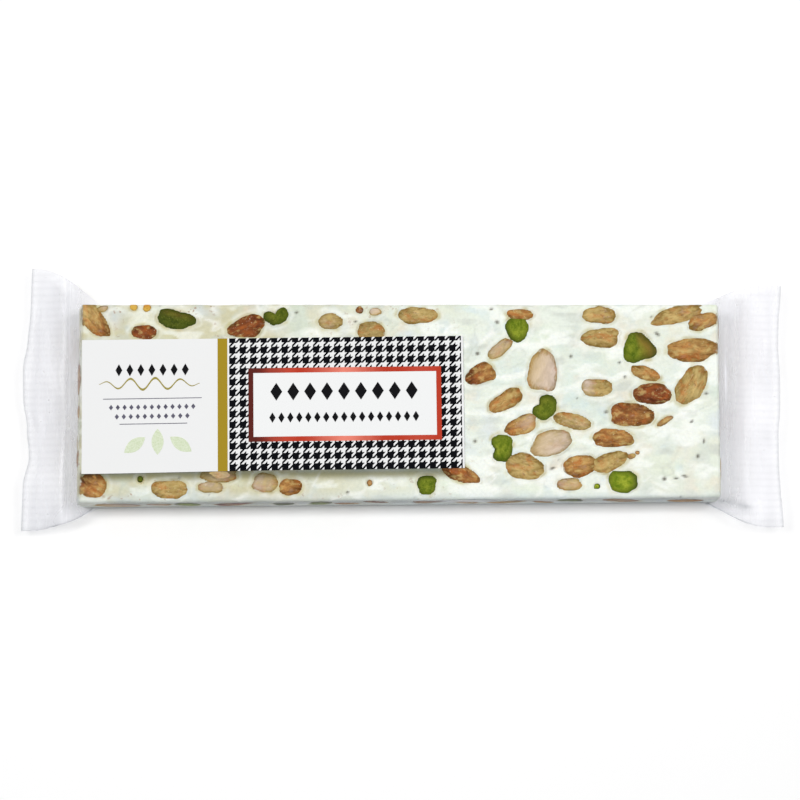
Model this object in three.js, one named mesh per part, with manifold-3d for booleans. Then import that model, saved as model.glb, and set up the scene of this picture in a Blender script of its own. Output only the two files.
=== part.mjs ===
// A slab of almond and pistachio nougat in its clear flow-wrap, with a paper label on top.
//
// The wrap is a film tube drawn tight round the slab. Its two ends are flattened and crimped
// between toothed jaws, and the long seam that closes the tube lies folded flat under the slab.
// The nuts in the slab's cut top stand out a little through the film.
//
// Millimetres, +Z up. +X runs along the slab, and the origin is on the ground, under the middle
// of the whole wrapped pack.
import * as THREE from 'three';
import { RoundedBoxGeometry } from 'three/addons/geometries/RoundedBoxGeometry.js';
import { mergeVertices } from 'three/addons/utils/BufferGeometryUtils.js';
import Module from 'manifold-3d';

// ---------------------------------------------------------------- driving dimensions

const BAR = { length: 220, width: 68, thick: 16, edgeRadius: 1.0, edgeSteps: 2 };

// The seam is a strip of film on edge, folded over: three layers, pressed flat.
const SEAM = { length: 217, width: 12, thick: 0.4, sunk: 0.6 };

// The ends differ, as the film is drawn and cut unevenly. For each: which way it points along X,
// how far beyond the slab the crimp begins, half the width of the flattened tube, how far its
// middle lies to +Y of the slab's, and how far the cut edge is from the slab, from -Y to +Y.
const LEFT_END = {
  way: -1,
  shoulder: 6.5,
  halfWidth: 46,
  aside: 2.25,
  cutEdge: [21.0, 20.0, 18.2, 18.9, 20.0, 19.8, 18.4, 17.4, 16.8],
};
const RIGHT_END = {
  way: 1,
  shoulder: 9.5,
  halfWidth: 42.4,
  aside: -0.15,
  cutEdge: [22.6, 21.7, 21.2, 21.2, 21.5, 21.2, 20.7, 21.0, 21.4],
};

// What both ends share. The film leaves the slab's sides a little before its ends.
const FILM = {
  leavesSlab: 6, // before the slab's end, where the sides start to open out
  opensOver: 24, // the length over which they open out to the full width
  tuck: 0.35, // how far below the slab's own faces the end piece starts
  sealThick: 0.7, // the two layers of the crimp, with the air between them
  droop: 1.6, // how far the crimp's free edge hangs
  wave: { rise: 1.1, length: 37 }, // the crimp's long bends from side to side
  crimpRise: 0.22, // half the height of the small ridges, which run along X
};
const STEPS = { inside: 2, shoulder: 3, crimp: 3, flat: 44, side: 6 };

const LABEL = {
  length: 132,
  width: 46,
  thick: 0.3,
  gap: 0.3, // above the film
  x: -44, // its middle, from the middle of the slab
  y: -0.9,
  turn: 0.65, // degrees
};

const NUT = { rise: 0.55, sides: 10, rings: 6, almondTaper: 0.22, clearOfEdge: 1.0 };

// The nuts in the top face: x and y from the middle of the slab, length, width and turn.
const ALMONDS = [
  // along the edge behind the label
  [-105, 28, 14, 7, -50],
  [-54, 26, 13, 7, 190],
  [-24, 28, 9, 5.5, 0],
  [-10.5, 25, 8.5, 6, 0],
  [6, 30.5, 15, 6, 0],
  // along the edge in front of the label
  [-106, -28, 9.5, 7.5, 0],
  [-79, -30, 12, 6, 0],
  [-45.5, -27.5, 10.5, 7, 0],
  [-37.5, -29.5, 9, 5.5, 0],
  [20.5, -25.5, 14.5, 5.5, -20],
  // the bare right-hand part, from the middle to the end
  [34.5, 18.5, 10.5, 5, 40],
  [27.5, 9, 10.5, 7, 25],
  [49.5, 11, 16, 10, 80],
  [36.5, 0.5, 12.5, 6, 35],
  [41.5, -8.5, 11.5, 6, 0],
  [59.5, -6.5, 14.5, 6, -15],
  [53, -14, 15, 8.5, 20],
  [43, -22.5, 14, 9, -10],
  [58.5, -29, 9, 5, 0],
  [62.5, -22, 14, 7, 12],
  [73.5, -12.5, 15, 7, 0],
  [80, -4.5, 16.5, 8.5, -5],
  [68, 5, 10.5, 6, 5],
  [69, 22, 13.5, 7, 0],
  [69, 30.5, 11.5, 6, 0],
  [96, 29.5, 19, 6, 11],
  [100.5, 18, 17, 8, 0],
  [100.5, 6.5, 15, 9, 55],
  [84.5, 10, 10, 5, -20],
  [87, 2.5, 14, 7, 0],
];
const PISTACHIOS = [
  [-77.5, 29, 13.5, 7.5, -5],
  [-43.5, 30, 9.5, 6, 20],
  [9, -29, 7.5, 7, 0],
  [40.5, 25, 9, 7.5, 80],
  [49.5, -2, 9, 8.5, 60],
  [34.5, -16, 9.5, 8.5, 70],
  [76.5, -28, 10.5, 8.5, 0],
  [82.5, 19.5, 11.5, 10.5, 20],
];

const COLOUR = { nougat: 0xe8ecdf, label: 0xf2f2f6 };

// ---------------------------------------------------------------- derived places

// The slab isn't quite under the middle of the pack, because its two ends differ.
const slabX = (LEFT_END.cutEdge[0] - RIGHT_END.cutEdge[0]) / 2;
const slabY = -LEFT_END.aside;
const slabBottom = SEAM.thick;
const slabTop = slabBottom + BAR.thick;
const slabMiddle = (slabBottom + slabTop) / 2;

// ---------------------------------------------------------------- solids

const wasm = await Module();
wasm.setup();

/** The solid inside a closed geometry. */
function solid(geometry) {
  const bare = new THREE.BufferGeometry();
  bare.setAttribute('position', geometry.getAttribute('position'));
  if (geometry.index) bare.setIndex(geometry.index);
  const merged = mergeVertices(bare, 1e-4);
  return new wasm.Manifold(
    new wasm.Mesh({
      numProp: 3,
      vertProperties: new Float32Array(merged.getAttribute('position').array),
      triVerts: new Uint32Array(merged.index.array),
    }),
  );
}

/** The geometry that bounds a solid. */
function surface(body) {
  const mesh = body.getMesh();
  const geometry = new THREE.BufferGeometry();
  geometry.setAttribute('position', new THREE.BufferAttribute(mesh.vertProperties, 3));
  geometry.setIndex(new THREE.BufferAttribute(mesh.triVerts, 1));
  const faceted = geometry.toNonIndexed();
  faceted.computeVertexNormals();
  return faceted;
}

/** Moves every vertex of a geometry to where place(x, y, z) says. */
function bend(geometry, place) {
  const points = geometry.getAttribute('position');
  for (let i = 0; i < points.count; i++) {
    const { x, y, z } = place(points.getX(i), points.getY(i), points.getZ(i));
    points.setXYZ(i, x, y, z);
  }
  return geometry;
}

const clamp = THREE.MathUtils.clamp;
const lerp = THREE.MathUtils.lerp;

// ---------------------------------------------------------------- the wrapped slab

function slab() {
  const { length, width, thick, edgeSteps, edgeRadius } = BAR;
  const box = new RoundedBoxGeometry(length, width, thick, edgeSteps, edgeRadius);
  return solid(box.translate(slabX, slabY, slabMiddle));
}

function backSeam() {
  const box = new THREE.BoxGeometry(SEAM.length, SEAM.width, SEAM.thick + SEAM.sunk);
  return solid(box.translate(slabX, slabY, (SEAM.thick + SEAM.sunk) / 2));
}

/** A nut that lies in the top face, half sunk. An almond narrows towards its tip. */
function nut([x, y, length, width, turn], taper) {
  const ball = new THREE.SphereGeometry(1, NUT.sides, NUT.rings);
  ball.rotateZ(-Math.PI / 2); // the poles are the nut's two ends
  bend(ball, (along, across, up) => ({
    x: (along * length) / 2,
    y: (across * (1 - taper * along) * width) / 2,
    z: up * NUT.rise,
  }));
  ball.rotateZ(THREE.MathUtils.degToRad(turn));
  return solid(ball.translate(slabX + x, slabY + y, slabTop));
}

/** All the nuts, cut off at the slab's edges and kept clear of the label. */
function nuts() {
  const all = wasm.Manifold.union([
    ...ALMONDS.map((place) => nut(place, NUT.almondTaper)),
    ...PISTACHIOS.map((place) => nut(place, 0)),
  ]);
  const inner = new THREE.BoxGeometry(
    BAR.length - 2 * NUT.clearOfEdge,
    BAR.width - 2 * NUT.clearOfEdge,
    BAR.thick,
  );
  const room = new THREE.BoxGeometry(
    LABEL.length + 2 * LABEL.gap,
    LABEL.width + 2 * LABEL.gap,
    BAR.thick,
  );
  room.rotateZ(THREE.MathUtils.degToRad(LABEL.turn));
  room.translate(slabX + LABEL.x, slabY + LABEL.y, slabTop);
  return all.intersect(solid(inner.translate(slabX, slabY, slabTop))).subtract(solid(room));
}

/**
 * One end of the film, from inside the slab out to the cut edge of the crimp.
 *
 * A box with many steps is bent to shape. Along it the height falls from the slab's to the
 * crimp's, and the sides open out, because the film keeps the same length round the tube. Across
 * it the section is flat over the slab's width and slopes to its edges beyond that.
 */
function filmEnd({ way, shoulder, halfWidth, aside, cutEdge }) {
  const stepsAlong = STEPS.inside + STEPS.shoulder + STEPS.crimp;
  const stepsAcross = STEPS.flat + 2 * STEPS.side;
  const flatShare = STEPS.flat / stepsAcross;
  const edge = new THREE.SplineCurve(cutEdge.map((reach, i) => new THREE.Vector2(i, reach)));
  const crimpStart = (STEPS.inside + STEPS.shoulder) / stepsAlong;
  const slabEnd = STEPS.inside / stepsAlong;
  const halfSeal = FILM.sealThick / 2;
  const halfSlab = BAR.thick / 2 - FILM.tuck;

  /** How far a step lies beyond the slab's end. */
  const reachAt = (along, across) => {
    if (along <= slabEnd) return lerp(-FILM.leavesSlab, 0, along / slabEnd);
    if (along <= crimpStart) return lerp(0, shoulder, (along - slabEnd) / (crimpStart - slabEnd));
    const cut = edge.getPoint((across + 1) / 2).y;
    return lerp(shoulder, cut, (along - crimpStart) / (1 - crimpStart));
  };

  const place = (px, py, pz) => {
    const along = 0.5 + way * px; // 0 in the slab, 1 at the cut edge
    const across = 2 * py; // -1 to 1
    const reach = reachAt(along, across);
    const opened = Math.sin((Math.PI / 2) * clamp((reach + FILM.leavesSlab) / FILM.opensOver, 0, 1));
    const flat = BAR.width / 2 - FILM.tuck;
    const half = lerp(flat, halfWidth, opened);
    const beyond = Math.max(0, Math.abs(across) - flatShare) / (1 - flatShare);
    const out = Math.min(1, Math.abs(across) / flatShare) * flat + beyond * (half - flat);
    const y = Math.sign(across) * out + aside * opened;

    const closed = clamp(reach / shoulder, 0, 1);
    const height = lerp(halfSlab, halfSeal, closed);
    const ridge = along > crimpStart && Math.round((across + 1) * stepsAcross / 2) % 2 ? 1 : -1;
    const inCrimp = clamp((along - crimpStart) / (1 - crimpStart), 0, 1);
    const bends = Math.sin((2 * Math.PI * y) / FILM.wave.length + way);
    const middle =
      slabMiddle +
      inCrimp * (FILM.wave.rise * bends - FILM.droop) +
      (inCrimp > 0 ? ridge * FILM.crimpRise : 0);
    return {
      x: slabX + way * (BAR.length / 2 + reach),
      y: slabY + y,
      z: middle + 2 * pz * lerp(height, halfSeal, beyond),
    };
  };
  return solid(bend(new THREE.BoxGeometry(1, 1, 1, stepsAlong, stepsAcross, 1), place));
}

function wrappedBar() {
  return wasm.Manifold.union([
    slab(),
    backSeam(),
    nuts(),
    filmEnd(LEFT_END),
    filmEnd(RIGHT_END),
  ]);
}

// ---------------------------------------------------------------- the label

function label() {
  const { length, width, thick, turn } = LABEL;
  const paper = new THREE.Mesh(
    new THREE.BoxGeometry(length, width, thick),
    new THREE.MeshStandardMaterial({ color: COLOUR.label, roughness: 0.55, metalness: 0 }),
  );
  paper.name = 'label';
  paper.rotation.z = THREE.MathUtils.degToRad(turn);
  paper.position.set(
    slabX + LABEL.x,
    slabY + LABEL.y,
    slabTop + LABEL.gap + thick / 2,
  );
  return paper;
}

// ---------------------------------------------------------------- the pack

function pack() {
  const bar = new THREE.Mesh(
    surface(wrappedBar()),
    new THREE.MeshStandardMaterial({ color: COLOUR.nougat, roughness: 0.3, metalness: 0 }),
  );
  bar.name = 'film_pack';
  const group = new THREE.Group();
  group.add(bar, label());
  return group;
}

export default pack();
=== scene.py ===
# %% [markdown]
# # A nougat bar in its clear wrap
#
# The object is a slab of white nougat, full of almonds and pistachios, sealed in a clear film
# tube with two crimped ends, and with a paper label stuck on top. The lesson builds it from the
# inside out: camera, floor and light, then the nougat, the nuts, the film and the label.
#
# Every shape is a surface worked out with numpy in millimetres, and goes into a mesh in metres.
# The solids of the fixed frame say where things are.

# %% Load the fixed frame
from math import pi, radians

import bmesh
import bpy
import numpy as np
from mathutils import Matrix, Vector


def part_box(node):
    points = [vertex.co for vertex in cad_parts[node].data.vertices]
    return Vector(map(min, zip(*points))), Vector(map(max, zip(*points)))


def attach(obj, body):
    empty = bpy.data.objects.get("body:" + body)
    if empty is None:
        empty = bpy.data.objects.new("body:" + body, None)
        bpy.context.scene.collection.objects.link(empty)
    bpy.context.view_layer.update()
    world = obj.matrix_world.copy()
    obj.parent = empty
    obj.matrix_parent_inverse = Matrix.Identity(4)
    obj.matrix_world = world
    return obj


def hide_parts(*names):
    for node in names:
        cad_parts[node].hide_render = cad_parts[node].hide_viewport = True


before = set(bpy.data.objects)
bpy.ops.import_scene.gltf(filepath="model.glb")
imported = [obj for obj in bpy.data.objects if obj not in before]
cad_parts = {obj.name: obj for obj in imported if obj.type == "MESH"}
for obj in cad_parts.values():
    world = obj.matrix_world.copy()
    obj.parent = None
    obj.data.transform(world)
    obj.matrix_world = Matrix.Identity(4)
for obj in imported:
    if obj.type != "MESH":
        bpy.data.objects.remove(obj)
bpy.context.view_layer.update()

MM = 0.001
BAR = np.array([220.0, 68.0, 16.0])  # length, width and thickness of the slab
LABEL_ASIDE = np.array([-44.0, -0.9])  # the label's middle, from the slab's
LABEL_GAP = 0.3  # from the slab's top face up to the label

label_low, label_high = (np.array(corner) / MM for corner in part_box("label"))
label_middle = (label_low + label_high) / 2
slab_top = label_low[2] - LABEL_GAP
slab_middle = np.array([*(label_middle[:2] - LABEL_ASIDE), slab_top - BAR[2] / 2])
print("nodes:", sorted(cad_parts))
print("slab middle, mm:", slab_middle.round(2), "label middle, mm:", label_middle.round(2))

# %% [markdown]
# ## Camera
#
# The pack lies flat and is seen from above, leaning a little towards its front, so that the
# front side shows as a narrow band. A long lens from a metre away keeps the edges nearly
# parallel.

# %% The camera above the pack
LENS = 135.0
SENSOR = 36.0
VIEW_WIDTH = 275.7  # the width of the view at the slab's top face
LEAN = radians(8.5)
AIM_BEYOND = 0.5  # how far beyond the slab's middle the camera aims

camera_data = bpy.data.cameras.new("camera")
camera_data.lens = LENS
camera_data.sensor_width = SENSOR
camera_data.clip_end = 20.0
camera = bpy.data.objects.new("camera", camera_data)
bpy.context.scene.collection.objects.link(camera)
bpy.context.scene.camera = camera

camera_distance = VIEW_WIDTH * LENS / SENSOR
camera_up = np.array([0, np.cos(LEAN), np.sin(LEAN)])
camera_back = np.array([0, -np.sin(LEAN), np.cos(LEAN)])
top_middle = np.array([*slab_middle[:2], slab_top])
camera.location = (top_middle + AIM_BEYOND * camera_up + camera_distance * camera_back) * MM
camera.rotation_euler = (LEAN, 0, 0)
print("camera", round(camera_distance), "mm away")

# %% [markdown]
# ## Floor and light
#
# The floor is plain white and bright. Two soft lamps hang high above the pack, one to each side
# and a little behind it. So both crimped ends are lit, the front side lies in shade, its shadow
# is narrow, and neither lamp is mirrored by the flat film. A pale world fills the rest, and is
# brighter behind the pack than in front of it.

# %% Floor, lamps and world
FLOOR_SIZE = 6.0
LAMP_ASIDE, LAMP_BEHIND, LAMP_HEIGHT = 0.42, 0.08, 1.0
LAMP_SIZE = 0.3
LAMP_POWER = {"left": 5.1, "right": 4.6}


def white_floor():
    """A square plane on the ground."""
    mesh = bpy.data.meshes.new("floor")
    half = FLOOR_SIZE / 2
    corners = [(-half, -half, 0), (half, -half, 0), (half, half, 0), (-half, half, 0)]
    mesh.from_pydata(corners, [], [(0, 1, 2, 3)])
    floor = bpy.data.objects.new("floor", mesh)
    bpy.context.scene.collection.objects.link(floor)
    material = bpy.data.materials.new("white floor")
    material.use_nodes = True
    paint = material.node_tree.nodes["Principled BSDF"]
    paint.inputs["Base Color"].default_value = (0.95, 0.95, 0.95, 1)
    paint.inputs["Roughness"].default_value = 0.9
    paint.inputs["Specular IOR Level"].default_value = 0.1
    mesh.materials.append(material)


def soft_lamp(name, place, size, power):
    """A square area lamp that faces the pack."""
    data = bpy.data.lights.new(name, "AREA")
    data.size = size
    data.energy = power
    lamp = bpy.data.objects.new(name, data)
    lamp.location = place
    lamp.rotation_euler = (-Vector(place)).to_track_quat("-Z", "Y").to_euler()
    bpy.context.scene.collection.objects.link(lamp)


def pale_world(front, back):
    """A white world whose strength grows evenly from the front to the back."""
    world = bpy.data.worlds.new("studio")
    world.use_nodes = True
    nodes, links = world.node_tree.nodes, world.node_tree.links
    direction = nodes.new("ShaderNodeTexCoord").outputs["Generated"]
    parts = nodes.new("ShaderNodeSeparateXYZ")
    strength = nodes.new("ShaderNodeMapRange")
    strength.inputs["From Min"].default_value = -1
    strength.inputs["To Min"].default_value = front
    strength.inputs["To Max"].default_value = back
    links.new(direction, parts.inputs[0])
    links.new(parts.outputs["Y"], strength.inputs["Value"])
    background = nodes["Background"]
    background.inputs["Color"].default_value = (1, 1, 1, 1)
    links.new(strength.outputs[0], background.inputs["Strength"])
    bpy.context.scene.world = world


white_floor()
for name, side in (("left", -1), ("right", 1)):
    soft_lamp(name, (side * LAMP_ASIDE, LAMP_BEHIND, LAMP_HEIGHT), LAMP_SIZE, LAMP_POWER[name])
pale_world(front=0.26, back=0.44)
bpy.context.scene.view_settings.view_transform = "Standard"
print("floor, two lamps and a pale world")

# %% [markdown]
# ## Helpers for shapes
#
# A few small tools carry all the shapes. `new_piece` turns an array of points and a list of
# faces into a mesh, `grid_faces` joins the points of a grid, and `weld` closes a surface where
# it meets itself. The pieces could be boxes and balls with modifiers on them. As arrays, though,
# the nuts, the nougat round them and the film over them share one formula, and so they fit.

# %% Points and faces into a piece


def new_piece(name, points, faces, smooth=True):
    """A mesh object at the origin, from points in millimetres and a list of faces, each a list
    of the numbers of its points."""
    mesh = bpy.data.meshes.new(name)
    mesh.from_pydata((points * MM).tolist(), [], faces)
    if smooth:
        mesh.shade_smooth()
    piece = bpy.data.objects.new(name, mesh)
    bpy.context.scene.collection.objects.link(piece)
    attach(piece, "root")
    return piece


def give(piece, name, values):
    """Stores one number, or one colour, for each point of a piece, for its material."""
    values = np.asarray(values, np.float32)
    if values.ndim == 1:
        layer = piece.data.attributes.new(name, "FLOAT", "POINT")
        layer.data.foreach_set("value", values)
    else:
        layer = piece.data.attributes.new(name, "FLOAT_COLOR", "POINT")
        opaque = np.column_stack([values, np.ones(len(values))]).astype(np.float32)
        layer.data.foreach_set("color", opaque.ravel())


def give_pattern(piece, places):
    """Gives each point its place on the piece's pattern, in millimetres, as a UV map."""
    layer = piece.data.uv_layers.new(name="pattern")
    corners = np.empty(len(piece.data.loops), np.int32)
    piece.data.loops.foreach_get("vertex_index", corners)
    layer.data.foreach_set("uv", places[corners].astype(np.float32).ravel())


def grid_faces(rows, columns, closed=False):
    """Faces between neighbours on a grid of points, stored row by row; closed joins the last
    column to the first."""
    row, column = np.mgrid[0 : rows - 1, 0 : columns if closed else columns - 1]
    beside = (column + 1) % columns
    corners = [row * columns + column, row * columns + beside]
    corners += [(row + 1) * columns + beside, (row + 1) * columns + column]
    return np.stack(corners, axis=-1).reshape(-1, 4)


def weld(piece, distance=0.001):
    """Merges points that coincide, such as those where a surface closes on itself, and turns
    every face outwards."""
    work = bmesh.new()
    work.from_mesh(piece.data)
    bmesh.ops.remove_doubles(work, verts=work.verts, dist=distance * MM)
    bmesh.ops.recalc_face_normals(work, faces=work.faces)
    work.to_mesh(piece.data)
    work.free()


print("faces of a grid of 3 by 3 points:", len(grid_faces(3, 3)), "open,", end=" ")
print(len(grid_faces(3, 3, closed=True)), "closed")

# %% [markdown]
# Nothing on a sweet that was poured, cut and wrapped is quite even. `soft_noise` is a smooth
# random field that stands for all of that. Blender has such fields too, but inside its shaders.
# This one can move the points of a mesh as well as colour them.

# %% Smooth random fields
AXIS_FACTORS = (73856093, 19349663, 83492791)
SEED_FACTOR = 97531
FOLDS = ((15, 2246822519), (13, 3266489917))  # how far the bits are shifted, and a factor
LOW_BITS = 0xFFFFFFFF


def lattice(cells, seed):
    """A repeatable random number from 0 to 1 for each whole-numbered cell: its three numbers
    and the seed, each times a large factor, are mixed, and the bits are folded over twice."""
    mixed = seed * SEED_FACTOR
    for axis, factor in enumerate(AXIS_FACTORS):
        mixed = mixed ^ cells[..., axis] * factor
    mixed = mixed & LOW_BITS
    for shift, factor in FOLDS:
        mixed = (mixed ^ (mixed >> shift)) * factor & LOW_BITS
    return ((mixed ^ (mixed >> 16)) & 0xFFFF) / 0xFFFF


def soft_noise(points, size, seed):
    """A random field from -1 to 1 at each point. Numbers stand on a lattice with cells of the
    given size, and between its corners they are blended by smooth steps."""
    scaled = np.asarray(points, float) / size
    cell = np.floor(scaled).astype(np.int64)
    step = scaled - cell
    step = step * step * (3 - 2 * step)
    total = 0.0
    for corner in np.ndindex(2, 2, 2):
        share = np.prod(np.where(np.array(corner) == 1, step, 1 - step), axis=-1)
        total = total + share * lattice(cell + np.array(corner), seed)
    return 2 * total - 1


def rich_noise(points, size, seed, layers=3):
    """Several soft fields on top of each other, each half as large and half as strong."""
    parts = [soft_noise(points, np.array(size) / 2**i, seed + i) / 2**i for i in range(layers)]
    return sum(parts) / (2 - 2 ** (1 - layers))


def smooth_step(value, low, high):
    """0 below low, 1 above high, and a smooth rise between them."""
    t = np.clip((value - low) / (high - low), 0, 1)
    return t * t * (3 - 2 * t)


def bell(value, middle, width):
    """1 where the value meets the middle, falling off to both sides over the width."""
    return np.exp(-(((value - middle) / width) ** 2))


sample = soft_noise(np.random.default_rng(1).uniform(-50, 50, (1000, 3)), 5.0, 3)
print("noise from", sample.min().round(2), "to", sample.max().round(2))

# %% [markdown]
# ## Helpers for finishes
#
# A finish is a Principled shader with its colour, roughness and bump worked out by nodes. The
# class below only shortens the typing: `add` makes a node and hands back its output.

# %% A finish under construction


def ink(red, green, blue):
    """A colour as a painter reads it, 0 to 255, in the linear numbers that light uses."""
    shown = np.array([red, green, blue]) / 255
    return np.where(shown <= 0.04045, shown / 12.92, ((shown + 0.055) / 1.055) ** 2.4)


class Finish:
    """One material. add() makes a node, feeds its inputs and hands back one of its outputs."""

    def __init__(self, name, **sockets):
        self.material = bpy.data.materials.new(name)
        self.material.use_nodes = True
        self.tree = self.material.node_tree
        self.shader = self.tree.nodes["Principled BSDF"]
        self.output = self.tree.nodes["Material Output"]
        self.set(**sockets)

    def feed(self, socket, value):
        """Links an output to an input, or sets the input to a plain value."""
        if isinstance(value, bpy.types.NodeSocket):
            self.tree.links.new(value, socket)
        elif isinstance(value, np.ndarray):
            socket.default_value = (*value, 1.0)[: len(socket.default_value)]
        else:
            socket.default_value = value

    def set(self, **sockets):
        """Feeds the shader's own inputs, each named with _ for a space."""
        for name, value in sockets.items():
            self.feed(self.shader.inputs[name.replace("_", " ")], value)

    def add(self, kind, out=0, inputs=(), **settings):
        node = self.tree.nodes.new("ShaderNode" + kind)
        for name, value in settings.items():
            setattr(node, name, value)
        for slot, value in dict(inputs).items():
            self.feed(node.inputs[slot], value)
        return node.outputs[out]

    def math(self, operation, a, b=0.0):
        return self.add("Math", operation=operation, inputs={0: a, 1: b})

    def plus(self, a, b):
        return self.math("ADD", a, b)

    def times(self, a, b):
        return self.math("MULTIPLY", a, b)

    def mix(self, share, a, b):
        return self.add("Mix", out=2, data_type="RGBA", inputs={0: share, 6: a, 7: b})

    def layered(self, ground, layers):
        """Colours laid over a ground one after another, each by its share."""
        for share, colour in layers:
            ground = self.mix(share, ground, ink(*colour))
        return ground

    def between(self, value, low, high, to_low=0.0, to_high=1.0):
        """The value stretched so that low goes to to_low and high to to_high, and clipped."""
        inputs = {0: value, 1: low, 2: high, 3: to_low, 4: to_high}
        return self.add("MapRange", inputs=inputs)

    def read(self, name, out=2):
        """The number that each point of the piece stores under this name (or its colour)."""
        return self.add("Attribute", out=out, attribute_name=name)

    def grain(self, places, scale, detail=3.0, roughness=0.6, stretch=None):
        """A noise pattern at some places, with that many spots to the unit. A stretch is a
        factor for each axis: under 1 it draws the spots out."""
        if stretch is not None:
            inputs = {0: places, 1: stretch}
            places = self.add("VectorMath", operation="MULTIPLY", inputs=inputs)
        inputs = {"Vector": places, "Scale": scale, "Detail": detail, "Roughness": roughness}
        return self.add("TexNoise", inputs=inputs)

    def bump(self, height, depth, below=None):
        """Bends the normal as if the surface rose by the height times a depth in metres."""
        inputs = {"Height": height, "Distance": depth, "Strength": 1.0}
        if below is not None:
            inputs["Normal"] = below
        return self.add("Bump", inputs=inputs)

    def put_on(self, piece, slot):
        piece.data.materials.clear()
        piece.data.materials.append(self.material)


print("cream ink in linear numbers:", ink(240, 238, 222).round(3))

# %% [markdown]
# ## Where the nuts lie
#
# The slab was cut from a large block, so its faces show nuts at every angle: whole sides, cut
# halves and thin slices. Those in the top face are placed one by one, because they make the
# bar's face. Those in the other faces come from a seeded scatter with the same sizes.
#
# Each nut is a flat pebble with an outline: an ellipse that narrows to one end, with a notch for
# a pistachio that curls. A record array keeps the numbers of all nuts together, so that every
# later step works on whole arrays.

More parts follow.
